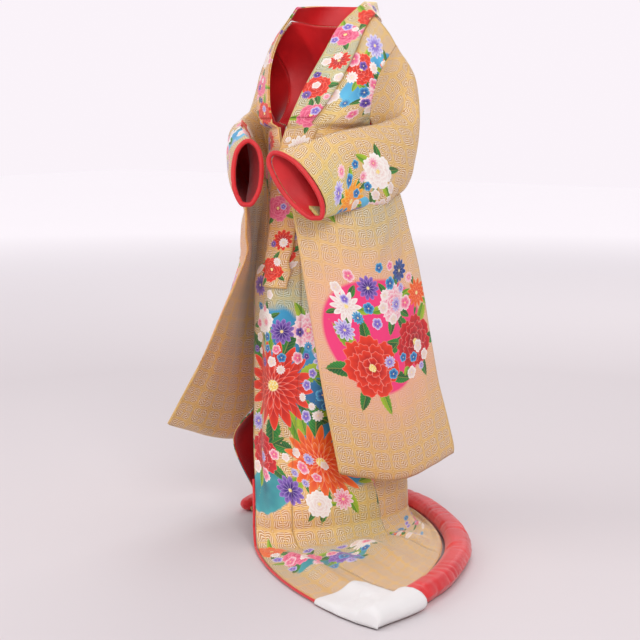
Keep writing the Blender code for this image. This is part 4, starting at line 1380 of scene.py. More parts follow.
@dataclass(frozen=True)
class PlainSilk:
    """Soft plain silk with a fine weave and a little slub."""

    name: str
    tone: Triple
    deep: Triple
    roughness: float = 0.40

    def make(self) -> Material:
        """Makes the material."""
        made, w, shader = start_finish(self.name)
        at = w.node("ShaderNodeTexCoord").outputs["Object"]
        x, y, z = w.split(at)
        cloudy = w.noise(at, 9.0, 3.0)
        slub = w.noise(at, 160.0, 2.0)
        w.feed(shader.inputs["Base Color"], w.mix(w.ramp(cloudy, 0.35, 0.65), self.deep, self.tone))
        w.feed(shader.inputs["Roughness"], w.times_plus(slub, 0.14, self.roughness - 0.07))
        shader.inputs["Sheen Weight"].default_value = 0.35
        shader.inputs["Sheen Roughness"].default_value = 0.35
        weave = w.sine(w.times(w.plus(w.plus(x, y), z), 2 * math.pi / 0.0011))
        bump(w, shader, w.times_plus(slub, 0.8, w.times(weave, 0.15)), 0.0004)
        return made


@dataclass(frozen=True)
class Cotton:
    """White cotton with a plain weave."""

    name: str = "white cotton"
    tone: Triple = (0.93, 0.92, 0.90)
    deep: Triple = (0.86, 0.85, 0.83)

    def make(self) -> Material:
        """Makes the material."""
        made, w, shader = start_finish(self.name)
        at = w.node("ShaderNodeTexCoord").outputs["Object"]
        x, y, _ = w.split(at)
        warp = w.sine(w.times(x, 2 * math.pi / 0.0012))
        weft = w.sine(w.times(y, 2 * math.pi / 0.0012))
        nap = w.noise(at, 240.0, 3.0)
        w.feed(shader.inputs["Base Color"], w.mix(w.noise(at, 14.0), self.deep, self.tone))
        w.feed(shader.inputs["Roughness"], w.times_plus(nap, 0.12, 0.78))
        shader.inputs["Sheen Weight"].default_value = 0.2
        bump(w, shader, w.plus(w.times(w.times(warp, weft), 0.4), nap), 0.0004)
        return made


@dataclass(frozen=True)
class Thread:
    """Twisted silk thread, painted darker in the grooves between its plies as painted shade."""

    name: str
    tone: Triple

    def make(self) -> Material:
        """Makes the material."""
        made, w, shader = start_finish(self.name)
        at = w.node("ShaderNodeTexCoord").outputs["Object"]
        x, y, z = w.split(at)
        ply = w.sine(w.times(w.plus(w.plus(x, z), y), 2 * math.pi / 0.0006))
        # Painted shade: the colour is darkest where the ply wave is low, in the grooves of the bump.
        dark = tuple(value * 0.7 for value in self.tone)
        w.feed(shader.inputs["Base Color"], w.mix(w.ramp(ply, -0.6, 0.6), dark, self.tone))
        w.feed(shader.inputs["Roughness"], w.times_plus(w.noise(at, 300.0), 0.2, 0.45))
        bump(w, shader, ply, 0.0002)
        return made


@dataclass(frozen=True)
class Backdrop:
    """The studio's plain pale paper, with painted light: far from the robe it glows, though it is no lamp,
    so the far floor looks as bright as the air.
    """

    name: str = "studio paper"
    tone: Triple = (0.70, 0.655, 0.663)
    # The glow is painted light: emission on the paper that stands in for lamp light the far floor doesn't
    # get.
    glow: Triple = (0.971, 0.955, 1.0)
    painted_glow_from: float = 2.4  # metres from the origin
    painted_glow_full: float = 9.0
    painted_glow_strength: float = 0.556

    def make(self) -> Material:
        """Makes the material."""
        made, w, shader = start_finish(self.name)
        at = w.node("ShaderNodeTexCoord").outputs["Object"]
        pale = tuple(value * 0.97 for value in self.tone)
        w.feed(shader.inputs["Base Color"], w.mix(w.noise(at, 0.7), pale, self.tone))
        w.feed(shader.inputs["Roughness"], w.times_plus(w.noise(at, 60.0), 0.1, 0.75))
        x, y, _ = w.split(at)
        away = w.distance(x, y)
        # Painted light: the paper glows more with distance from the robe, up to full at the far end of the
        # ramp.
        w.feed(shader.inputs["Emission Color"], self.glow)
        far = w.ramp(away, self.painted_glow_from, self.painted_glow_full)
        w.feed(shader.inputs["Emission Strength"], w.times(far, self.painted_glow_strength))
        bump(w, shader, w.noise(at, 500.0), 0.0002)
        return made


GOLD_GROUND = (0.80, 0.53, 0.23)
RUST = (0.92, 0.33, 0.06)
SEA = (0.22, 0.56, 0.46)
LIME = (0.56, 0.62, 0.16)
PINKISH = (0.93, 0.46, 0.34)
PALE = (0.82, 0.62, 0.36)


def front_pattern(seed: int) -> Pattern:
    """Lays out a front's pattern; x runs from the leading edge, y up from the skirt's foot."""
    bed = FlowerBed(seed)
    bed.cloud(0.205, 0.330, 0.345, Ink.DEEP, -60, 0.38)
    bed.cloud(0.050, 0.090, 0.095, Ink.TEAL, 20, 0.60)
    bed.cloud(0.150, 1.215, 0.150, Ink.AZURE, 62, 0.50)
    bed.cloud(0.170, -0.215, 0.160, Ink.TEAL, 12, 0.36)
    bed.mum(0.108, 0.360, 0.126, Ink.SCARLET, 9)
    bed.mum(0.235, 0.165, 0.106, Ink.ORANGE, 8)
    bed.peony(0.058, 0.178, 0.058, Ink.CRIMSON, 5)
    bed.peony(0.205, 0.512, 0.052, Ink.BLUSH, 6)
    bed.peony(0.065, 0.528, 0.040, Ink.WHITE, 6)
    bed.mum(0.335, 0.340, 0.080, Ink.CRIMSON, 7)
    bed.peony(0.405, 0.130, 0.064, Ink.ROSE, 6)
    bed.daisy(0.130, 0.505, 0.036, Ink.VIOLET)
    bed.daisy(0.262, 0.440, 0.038, Ink.LILAC)
    bed.daisy(0.024, 0.250, 0.026, Ink.LILAC)
    bed.daisy(0.120, 0.095, 0.036, Ink.VIOLET)
    bed.peony(0.185, 0.062, 0.036, Ink.WHITE, 3, True)
    bed.daisy(0.255, 0.068, 0.030, Ink.BLUSH)
    bed.scatter(0.235, 0.340, 0.045, 0.075, 0.016, (Ink.AZURE, Ink.LILAC, Ink.WHITE), 14)
    bed.scatter(0.110, 0.470, 0.100, 0.080, 0.014, (Ink.WHITE, Ink.BLUSH, Ink.VIOLET, Ink.AZURE), 16)
    bed.scatter(0.130, 0.140, 0.120, 0.060, 0.014, (Ink.BLUSH, Ink.WHITE, Ink.LILAC), 12)
    bed.peony(0.090, -0.170, 0.056, Ink.ROSE, 6)
    bed.peony(0.200, -0.215, 0.052, Ink.VIOLET, 6)
    bed.mum(0.290, -0.150, 0.048, Ink.WHITE, 5)
    bed.peony(0.030, -0.080, 0.042, Ink.ORANGE, 4)
    bed.scatter(0.150, -0.170, 0.150, 0.110, 0.017, (Ink.LILAC, Ink.WHITE, Ink.BLUSH, Ink.AZURE), 20)
    bed.peony(0.050, 0.700, 0.046, Ink.SCARLET, 6)
    bed.daisy(0.040, 0.620, 0.030, Ink.VIOLET)
    bed.daisy(0.085, 0.775, 0.030, Ink.LILAC)
    bed.mum(0.045, 0.855, 0.044, Ink.MARIGOLD, 6)
    bed.peony(0.110, 0.930, 0.036, Ink.ROSE, 5)
    bed.scatter(0.060, 0.750, 0.060, 0.200, 0.015, (Ink.WHITE, Ink.AZURE, Ink.BLUSH), 16)
    bed.peony(0.165, 1.150, 0.046, Ink.BLUSH, 6)
    bed.peony(0.090, 1.205, 0.044, Ink.SCARLET, 6)
    bed.mum(0.175, 1.265, 0.042, Ink.ORANGE, 6)
    bed.daisy(0.100, 1.285, 0.032, Ink.LILAC)
    bed.scatter(0.130, 1.200, 0.100, 0.120, 0.017, (Ink.WHITE, Ink.BLUSH, Ink.AZURE, Ink.VIOLET), 22)
    glows = (
        Glow(0.13, 0.56, 0.20, 0.10, SEA, 0.75),
        Glow(0.30, 0.42, 0.12, 0.20, PINKISH, 0.55),
        Glow(0.36, 0.05, 0.18, 0.12, LIME, 0.55),
        Glow(0.10, 0.05, 0.12, 0.10, RUST, 0.40),
        Glow(0.02, 0.72, 0.10, 0.20, RUST, 0.60),
        Glow(0.16, 0.95, 0.14, 0.09, RUST, 0.60),
        Glow(0.24, 1.12, 0.07, 0.10, SEA, 0.75),
        Glow(0.06, 1.16, 0.07, 0.16, LIME, 0.45),
        Glow(0.14, -0.17, 0.22, 0.12, SEA, 0.40),
        Glow(0.45, 0.60, 0.16, 0.40, PALE, 0.55),
    )
    return Pattern(GOLD_GROUND, glows, tuple(bed.motifs))


def back_pattern() -> Pattern:
    """Lays out the back across its middle seam; x runs from the seam to the wearer's left."""
    bed = FlowerBed(41)
    bed.cloud(-0.060, 0.500, 0.230, Ink.AZURE, 42, 0.36)
    bed.cloud(0.120, 0.300, 0.200, Ink.INDIGO, -38, 0.36)
    bed.cloud(0.110, 0.640, 0.120, Ink.PINK_GROUND, 0, 0.92)
    bed.cloud(0.000, 1.130, 0.190, Ink.AZURE, 8, 0.42)
    bed.cloud(-0.070, 0.130, 0.140, Ink.TEAL, -16, 0.40)
    bed.mum(-0.100, 0.440, 0.108, Ink.SCARLET, 9)
    bed.mum(0.085, 0.330, 0.090, Ink.CRIMSON, 8)
    bed.peony(0.100, 0.585, 0.078, Ink.ORANGE, 7)
    bed.peony(-0.115, 0.625, 0.056, Ink.BLUSH, 7)
    bed.peony(-0.050, 0.225, 0.060, Ink.ROSE, 6)
    bed.mum(0.170, 0.190, 0.056, Ink.MARIGOLD, 6)
    bed.mum(0.000, 0.705, 0.048, Ink.WHITE, 6)
    bed.daisy(0.000, 0.520, 0.038, Ink.VIOLET)
    bed.daisy(0.170, 0.440, 0.036, Ink.LILAC)
    bed.daisy(-0.185, 0.300, 0.034, Ink.VIOLET)
    bed.daisy(0.040, 0.120, 0.034, Ink.LILAC)
    bed.scatter(0.000, 0.430, 0.200, 0.300, 0.017, (Ink.WHITE, Ink.LILAC, Ink.BLUSH, Ink.AZURE), 42)
    bed.peony(-0.080, 1.135, 0.068, Ink.SCARLET, 7)
    bed.mum(0.075, 1.095, 0.060, Ink.MARIGOLD, 7)
    bed.peony(0.010, 1.205, 0.044, Ink.BLUSH, 6)
    bed.daisy(0.130, 1.180, 0.036, Ink.VIOLET)
    bed.daisy(-0.150, 1.040, 0.032, Ink.LILAC)
    bed.scatter(0.000, 1.130, 0.190, 0.110, 0.016, (Ink.WHITE, Ink.AZURE, Ink.BLUSH), 30)
    bed.peony(-0.130, -0.170, 0.060, Ink.SCARLET, 6)
    bed.peony(0.040, -0.210, 0.054, Ink.ROSE, 6)
    bed.mum(0.190, -0.150, 0.052, Ink.ORANGE, 6)
    bed.scatter(0.020, -0.190, 0.250, 0.150, 0.018, (Ink.LILAC, Ink.WHITE, Ink.AZURE), 30)
    glows = (
        Glow(-0.10, 0.74, 0.22, 0.10, SEA, 0.60),
        Glow(0.14, 0.50, 0.16, 0.22, PINKISH, 0.60),
        Glow(-0.16, 0.10, 0.18, 0.14, LIME, 0.50),
        Glow(0.00, 0.92, 0.20, 0.09, RUST, 0.45),
        Glow(0.00, 1.12, 0.26, 0.14, SEA, 0.35),
        Glow(0.00, -0.18, 0.34, 0.14, PALE, 0.50),
    )
    return Pattern(GOLD_GROUND, glows, tuple(bed.motifs))


def sleeve_pattern(side: Side, outer: bool) -> Pattern:
    """Lays out a sleeve's face; x runs from the cuff to the body, y down from the fold."""
    bed = FlowerBed(7 if outer else 8)
    if side is Side.LEFT and outer:
        bed.cloud(0.185, 0.610, 0.165, Ink.PINK_GROUND, 0, 0.97)
        bed.cloud(0.110, 0.170, 0.130, Ink.AZURE, 15, 0.42)
        bed.cloud(0.430, 0.160, 0.150, Ink.AZURE, 70, 0.45)
        bed.peony(0.150, 0.690, 0.088, Ink.SCARLET, 7)
        bed.peony(0.305, 0.655, 0.070, Ink.CRIMSON, 6)
        bed.peony(0.245, 0.530, 0.052, Ink.BLUSH, 6)
        bed.mum(0.100, 0.535, 0.046, Ink.WHITE, 5)
        bed.mum(0.345, 0.540, 0.040, Ink.ORANGE, 5)
        bed.daisy(0.170, 0.478, 0.034, Ink.VIOLET)
        bed.daisy(0.085, 0.600, 0.030, Ink.LILAC)
        bed.daisy(0.290, 0.460, 0.032, Ink.INDIGO)
        bed.scatter(0.200, 0.500, 0.130, 0.075, 0.018, (Ink.WHITE, Ink.AZURE, Ink.LILAC, Ink.BLUSH), 24)
        bed.scatter(0.260, 0.700, 0.080, 0.050, 0.015, (Ink.WHITE, Ink.AZURE, Ink.LILAC), 8)
        bed.mum(0.115, 0.140, 0.056, Ink.MARIGOLD, 6)
        bed.peony(0.212, 0.085, 0.048, Ink.WHITE, 6)
        bed.peony(0.075, 0.255, 0.046, Ink.SCARLET, 6)
        bed.peony(0.225, 0.200, 0.044, Ink.BLUSH, 5)
        bed.daisy(0.160, 0.205, 0.030, Ink.VIOLET)
        bed.daisy(0.060, 0.080, 0.026, Ink.LILAC)
        bed.scatter(0.150, 0.150, 0.130, 0.110, 0.015, (Ink.AZURE, Ink.WHITE, Ink.BLUSH), 22)
        bed.peony(0.420, 0.120, 0.050, Ink.SCARLET, 6)
        bed.peony(0.470, 0.215, 0.042, Ink.ROSE, 6)
        bed.daisy(0.380, 0.200, 0.030, Ink.VIOLET)
        bed.scatter(0.430, 0.170, 0.090, 0.110, 0.015, (Ink.WHITE, Ink.AZURE, Ink.BLUSH), 14)
    elif side is Side.LEFT:
        bed.peony(0.160, 0.560, 0.070, Ink.ROSE, 7)
        bed.mum(0.250, 0.640, 0.056, Ink.ORANGE, 6)
        bed.daisy(0.120, 0.660, 0.036, Ink.VIOLET)
        bed.scatter(0.180, 0.600, 0.120, 0.120, 0.017, (Ink.WHITE, Ink.AZURE, Ink.LILAC), 20)
    elif outer:
        bed.cloud(0.190, 0.580, 0.140, Ink.PINK_GROUND, 0, 0.95)
        bed.peony(0.190, 0.640, 0.074, Ink.SCARLET, 7)
        bed.mum(0.120, 0.520, 0.050, Ink.MARIGOLD, 6)
        bed.peony(0.250, 0.510, 0.046, Ink.BLUSH, 6)
        bed.daisy(0.190, 0.480, 0.034, Ink.VIOLET)
        bed.scatter(0.190, 0.560, 0.140, 0.130, 0.017, (Ink.WHITE, Ink.AZURE, Ink.LILAC), 26)
        bed.cloud(0.160, 0.150, 0.150, Ink.AZURE, 20, 0.45)
        bed.peony(0.150, 0.140, 0.046, Ink.WHITE, 6)
        bed.mum(0.240, 0.160, 0.044, Ink.ROSE, 6)
        bed.scatter(0.200, 0.150, 0.140, 0.100, 0.015, (Ink.WHITE, Ink.BLUSH, Ink.LILAC), 20)
    else:
        bed.cloud(0.110, 0.120, 0.120, Ink.AZURE, 20, 0.45)
        bed.peony(0.110, 0.130, 0.044, Ink.BLUSH, 6)
        bed.peony(0.200, 0.110, 0.042, Ink.SCARLET, 6)
        bed.scatter(0.150, 0.130, 0.120, 0.090, 0.015, (Ink.WHITE, Ink.LILAC, Ink.BLUSH), 18)
    left = side is Side.LEFT
    glows = (
        Glow(0.19, 0.63, 0.26, 0.23, PINKISH, 0.97 if left or outer else 0.0, 1.0),
        Glow(0.03, 0.14, 0.10, 0.16, LIME, 0.75),
        Glow(0.25, 0.28, 0.12, 0.10, SEA, 0.35 if left else 0.10),
        Glow(0.42, 0.40, 0.10, 0.30, PALE, 0.5 if left else 0.0),
        Glow(0.42 if left else 0.04, 0.36, 0.12, 0.22, RUST, 0.0 if left else 0.70),
    )
    return Pattern(GOLD_GROUND, glows, tuple(bed.motifs))


def band_pattern() -> Pattern:
    """Lays out the neck band; x runs from its free edge, y along it from its left end."""
    bed = FlowerBed(19)
    inks = (Ink.SCARLET, Ink.LILAC, Ink.ORANGE, Ink.WHITE, Ink.ROSE, Ink.AZURE)
    for i in range(23):
        y = 0.05 + i * 0.083
        if i % 3 == 1:
            bed.daisy(0.052, y, 0.030, inks[(i * 5 + 1) % 6], False)
        else:
            bed.peony(0.030 + 0.020 * (i % 2), y, 0.036, inks[(i * 2) % 6], 4)
    bed.scatter(0.04, 0.95, 0.045, 0.95, 0.012, (Ink.WHITE, Ink.LILAC, Ink.BLUSH, Ink.VIOLET), 60)
    glows = (
        Glow(0.04, 0.25, 0.20, 0.20, RUST, 0.60),
        Glow(0.04, 0.60, 0.20, 0.16, SEA, 0.60),
        Glow(0.04, 0.95, 0.20, 0.20, LIME, 0.40),
        Glow(0.04, 1.50, 0.20, 0.20, RUST, 0.60),
    )
    return Pattern(GOLD_GROUND, glows, tuple(bed.motifs))


SKIRT_CREASES = (
    Crease(0.060, 0.03, 0.100, 0.34, 0.016, 0.0035),
    Crease(0.135, 0.10, 0.160, 0.52, 0.020, -0.0038),
    Crease(0.225, 0.02, 0.235, 0.41, 0.018, 0.0042),
    Crease(0.290, 0.12, 0.315, 0.63, 0.022, -0.0035),
    Crease(0.360, 0.03, 0.352, 0.48, 0.017, 0.0038),
    Crease(0.410, 0.20, 0.398, 0.72, 0.020, -0.0032),
    Crease(0.020, 0.50, 0.150, 0.66, 0.014, 0.0032),
    Crease(0.040, 0.66, 0.210, 0.77, 0.015, -0.0029),
    Crease(0.180, 0.70, 0.330, 0.83, 0.018, 0.0032),
    Crease(0.070, 0.86, 0.190, 0.98, 0.016, 0.0035),
    Crease(0.150, 1.00, 0.245, 1.10, 0.013, -0.0038),
    Crease(0.110, 1.06, 0.225, 1.20, 0.015, 0.0042),
    Crease(0.190, 1.17, 0.115, 1.30, 0.017, -0.0029),
    Crease(0.030, -0.06, 0.120, -0.30, 0.020, 0.0048),
    Crease(0.160, -0.03, 0.200, -0.36, 0.022, -0.0035),
    Crease(0.270, -0.05, 0.265, -0.42, 0.024, 0.0048),
    Crease(0.350, -0.02, 0.380, -0.30, 0.022, -0.0038),
)
BACK_CREASES = (
    Crease(-0.190, 0.05, -0.160, 0.56, 0.020, 0.0038),
    Crease(-0.080, 0.03, -0.095, 0.40, 0.018, -0.0035),
    Crease(0.050, 0.10, 0.035, 0.68, 0.022, 0.0038),
    Crease(0.150, 0.02, 0.175, 0.47, 0.017, -0.0035),
    Crease(0.215, 0.22, 0.190, 0.74, 0.020, 0.0035),
    Crease(-0.130, 0.62, 0.020, 0.82, 0.018, -0.0032),
    Crease(0.020, 0.86, 0.160, 0.99, 0.016, 0.0035),
    Crease(-0.150, 0.98, -0.060, 1.15, 0.017, -0.0035),
    Crease(0.080, 1.05, 0.160, 1.22, 0.016, 0.0038),
    Crease(-0.100, 1.18, 0.090, 1.24, 0.014, 0.0029),
    Crease(-0.200, -0.04, -0.240, -0.36, 0.024, 0.0045),
    Crease(0.010, -0.03, 0.030, -0.42, 0.022, -0.0038),
    Crease(0.180, -0.05, 0.230, -0.38, 0.024, 0.0048),
)
SLEEVE_CREASES = (
    Crease(0.080, 0.02, 0.130, 0.20, 0.013, 0.0053),
    Crease(0.150, 0.04, 0.215, 0.21, 0.014, -0.0057),
    Crease(0.230, 0.02, 0.280, 0.24, 0.013, 0.0061),
    Crease(0.300, 0.06, 0.330, 0.23, 0.011, -0.0053),
    Crease(0.350, 0.03, 0.350, 0.26, 0.012, 0.0057),
    Crease(0.410, 0.08, 0.370, 0.30, 0.014, -0.0049),
    Crease(0.455, 0.05, 0.430, 0.34, 0.015, 0.0049),
    Crease(0.300, 0.28, 0.180, 0.44, 0.017, 0.0049),
    Crease(0.340, 0.34, 0.255, 0.66, 0.020, -0.0046),
    Crease(0.110, 0.40, 0.085, 0.80, 0.022, 0.0046),
    Crease(0.200, 0.52, 0.215, 0.98, 0.024, -0.0046),
    Crease(0.300, 0.60, 0.325, 1.02, 0.021, 0.0046),
    Crease(0.040, 0.56, 0.050, 0.92, 0.016, -0.0034),
)


@dataclass
class BodyLength:
    """One length of cloth over the shoulder: front and back, slit under the armhole."""

    side: Side
    form: RobeForm
    flat: tuple[float, float] = (0.31, 3.30)

    def build(self, front: Pattern, rear: Pattern, finishes: Finishes) -> Object:
        """Builds the length.

        Args:
            front: the front's pattern.
            rear: the back's pattern.
            finishes: the outer and the inner material.

        Returns:
            The piece.
        """
        left = self.side is Side.LEFT
        name = f"body_{self.side.label}"
        lower = self.form.skirt_marks()
        halves = []
        gore = gore_widths(self.form, self.side)
        for grid, is_front in zip(self.form.body_grids(self.side, 49), (True, False)):
            upper = np.linalg.norm(np.diff(grid[len(lower) - 1 :], axis=0), axis=2).mean(axis=1)
            marks = np.concatenate([lower, lower[-1] + np.cumsum(upper)])
            count = 49 if is_front else 61
            patch = Patch.evenly(grid, marks, count, start=np.zeros(len(marks)), crown=0.03)
            widths = patch.widths
            if is_front:
                wide = np.concatenate([gore, np.full(len(marks) - len(gore), gore[-1])])
                patch.start, patch.sign, patch.flip = wide + widths, -1.0, not left
                patch.creases = SKIRT_CREASES
            else:
                patch.start, patch.sign = self.side.value * widths, -float(self.side.value)
                patch.flip = left
                patch.creases = BACK_CREASES
            halves.append((patch, front if is_front else rear))
        return cloth_piece(name, halves, finishes)


def gore_widths(form: RobeForm, side: Side) -> Array:
    """Measures a front gore's width at each of its rows."""
    left = side is Side.LEFT
    places = np.linspace(5, 6, 13) if left else np.linspace(0, 1, 13)
    return np.linalg.norm(np.diff(form.skirt(places), axis=1), axis=2).sum(axis=1)


@dataclass
class Gore:
    """A front gore, from its point at the chest to the hem."""

    side: Side
    form: RobeForm
    trim: float = 0.0022

    def build(self, pattern: Pattern, finishes: Finishes) -> Object:
        """Builds the gore with its pattern and its two materials."""
        left = self.side is Side.LEFT
        places = np.linspace(5 + self.trim, 6, 33) if left else np.linspace(0, 1 - self.trim, 33)
        grid, marks = self.form.skirt(places), self.form.skirt_marks()
        patch = Patch.evenly(grid, marks, 33, start=np.zeros(len(marks)), creases=SKIRT_CREASES)
        if left:
            patch.start, patch.sign = patch.widths, -1.0
        name = f"gore_{self.side.label}"
        return cloth_piece(name, [(patch, pattern)], finishes)


@dataclass
class NeckBand:
    """The band along both fronts and round the nape, and its second layer."""

    form: RobeForm
    cover_lift: float = 0.0036
    cover_from: float = 1.10

    def build(self, pattern: Pattern, finishes: Finishes) -> list[Object]:
        """Builds the band and the cover."""
        band = self.form.band_grid(17)
        low = int(np.argmax(band[:, 0, 2] > self.cover_from))
        high = len(band) - int(np.argmax(band[::-1, 0, 2] > self.cover_from))
        marks = lengths(band[:, 8])
        over = self.form.raised(band, self.cover_lift)[low:high]
        made = []
        for name, grid, rows, lift, wall in (
            ("neck_band", band, marks, 0.0016, 0.0030),
            ("band_cover", over, marks[low:high], 0.0009, 0.0016),
        ):
            rest = {"start": np.zeros(len(rows)), "flip": True, "lift": lift, "step": 0.006}
            patch = Patch.evenly(grid, rows, 17, **rest)
            made.append(cloth_piece(name, [(patch, pattern)], finishes, wall))
        return made


@dataclass
class Sleeve:
    """A sleeve: a tube round the arm, and a deep bag below it, open beside the body."""

    side: Side
    form: RobeForm
    rows: int = 76
    columns: int = 150
    lift: float = 0.0028
    passes: int = 10  # of smoothing
    armhole_reach: float = 0.16  # share of the sleeve that follows the armhole
    shut_from: float = 0.002  # below the cuff, where its front edge starts to close
    shut_over: float = 0.010
    edge_open: float = 0.0006  # how far the edge stands out, open and closed
    edge_shut: float = 0.0022
    flat: tuple[float, float] = (0.70, 1.05)

    def lines(self, coarse: Array) -> Array:
        """Draws smooth, evenly parted lines through the rings' few points."""
        rows, cols = coarse.shape[:2]
        row_of, col_of = np.meshgrid(np.arange(rows), np.linspace(0, cols - 1, cols * 12), indexing="ij")
        fine = read_grid(coarse, row_of.astype(float), col_of)
        even = Patch.evenly(fine, np.arange(rows), self.columns, start=np.zeros(rows)).grid
        share = 0.5 * (1 - 0.85 * ease((np.linspace(0, 1, rows) - 0.80) / 0.15))[:, None, None]
        for _ in range(self.passes):
            even[:, 1:-1] += share * ((even[:, :-2] + even[:, 2:]) / 2 - even[:, 1:-1])
        return even

    def down(self, face: Array) -> Array:
        """Measures each point's way from the fold, along its own line."""
        steps = np.linalg.norm(np.diff(face, axis=1), axis=2)
        return np.concatenate([np.zeros((len(face), 1)), np.cumsum(steps, axis=1)], axis=1)

    def flat_places(self, face: Array) -> tuple[Array, Array]:
        """Lays a face out flat: x from the cuff along level lines, y down to the foot at a metre."""
        down = self.down(face)
        rise = down[:, -1:] - down
        levels = np.linspace(0, float(rise.max()), 160)
        line = np.stack(
            [
                np.stack([np.interp(levels, rise[i, ::-1], face[i, ::-1, k]) for k in range(3)], -1)
                for i in range(len(face))
            ]
        )
        across = np.linalg.norm(np.diff(line, axis=0), axis=2)[::-1]
        far = np.concatenate([np.zeros((1, len(levels))), np.cumsum(across, axis=0)])[::-1]
        x = np.stack([np.interp(rise[i], levels, far[i]) for i in range(len(face))])
        return x, 1.0 - rise

    def sewn_on(self, face: Array, alongs: Array) -> Array:
        """Brings the sleeve's edge by the shoulder onto the armhole's edge."""
        armhole = ARMHOLES[self.side]
        edges = {part: corner(armhole, "rise", self.form.rises, part) for part in ("front", "back")}
        middle = (edges["front"][:, 1].mean() + edges["back"][:, 1].mean()) / 2
        start = face[0]
        part = "front" if start[self.columns // 10, 1] < middle else "back"
        edge = edges[part]
        target = np.stack([np.interp(start[:, 2], edge[:, 2], edge[:, k]) for k in range(3)], -1)
        near = ease((start[:, 2] - ARMPIT - 0.004) / 0.02)[:, None]
        move = (target - start) * near
        fade = (1 - ease(alongs / self.armhole_reach))[:, None, None]
        return face + move[None] * fade

    def build(
        self, outer: Pattern, inner: Pattern, finishes: Finishes
    ) -> Object:
        """Builds the sleeve.

        Args:
            outer: the outer face's pattern.
            inner: the pattern of the face by the body.
            finishes: the outer and the inner material.

        Returns:
            The piece.
        """
        alongs = np.linspace(0, 1, self.rows)
        coarse = self.form.sleeve_rings(self.side, alongs)
        closed_from = []
        for lines in coarse:
            steps = np.linalg.norm(np.diff(lines[-1], axis=0), axis=1)
            closed_from.append(steps[:5].sum())
        faces = [self.sewn_on(self.lines(lines), alongs) for lines in coarse]
        ring = np.concatenate([faces[0], faces[1][:, -2:0:-1]], axis=1)
        wrapped = np.concatenate([ring[:, -2:], ring, ring[:, :2]], axis=1)
        normal = normals_of(wrapped)[:, 2:-2]
        middle = self.columns // 2
        toward = faces[0][:, middle] - faces[1][:, middle]
        sign = float(np.sign(np.sum(normal[:, middle] * toward)))
        normal = normal * sign
        flats = [self.flat_places(face) for face in faces]
        x = np.concatenate([flats[0][0], flats[1][0][:, -2:0:-1]], axis=1)
        y = np.concatenate([flats[0][1], flats[1][1][:, -2:0:-1]], axis=1)
        lift = self.lift + 0.00035 * (np.sin(x * 61 + np.sin(y * 23)) + np.sin(y * 47 + np.sin(x * 31)))
        creased = sum(crease.lift(x, y) for crease in SLEEVE_CREASES)
        lift = lift + creased * ease(np.minimum(x / 0.03, 1.0))
        points = ring + normal * lift[..., None]
        onward = ring[-1] - ring[-2]
        onward = unit(onward)
        limit = np.where(np.arange(ring.shape[1]) < self.columns, *closed_from)
        down = np.concatenate([self.down(faces[0])[-1], self.down(faces[1])[-1, -2:0:-1]])
        shut = ease((down - limit - self.shut_from) / self.shut_over)[:, None]
        out = onward * (self.edge_open + self.edge_shut * shut)
        edge = points[-1] * (1 - shut) + ring[-1] * shut + out
        points = np.concatenate([points, edge[None]])
        points[..., 2] -= SHOULDER_HEIGHT
        parts = []
        last = self.columns - 1
        for face, pattern in enumerate((outer, inner)):
            if face == 0:
                cut = points[:, : self.columns]
            else:
                cut = np.concatenate([points[:, last:], points[:, :1]], axis=1)
            px, py = flats[face]
            px, py = np.concatenate([px, px[-1:] - 0.003]), np.concatenate([py, py[-1:]])
            if face == 1:
                px, py = px[:, ::-1], py[:, ::-1]
            cloth = SleeveCloth(cut, alongs, alongs, flip=sign < 0, ready=(cut, px, py))
            parts.append((cloth, pattern))
        return cloth_piece(f"sleeve_{self.side.label}", parts, finishes)

    def cuff(self) -> tuple[Array, Array]:
        """Gives the loop round the cuff and the direction out of the sleeve."""
        outer, inner = self.form.sleeve_rings(self.side, np.array([0.94, 1.0]))
        loops = [np.concatenate([outer[i, :6], inner[i, 4:0:-1]]) for i in (0, 1)]
        onward = (loops[1] - loops[0]).mean(axis=0)
        return loops[1], unit(onward)


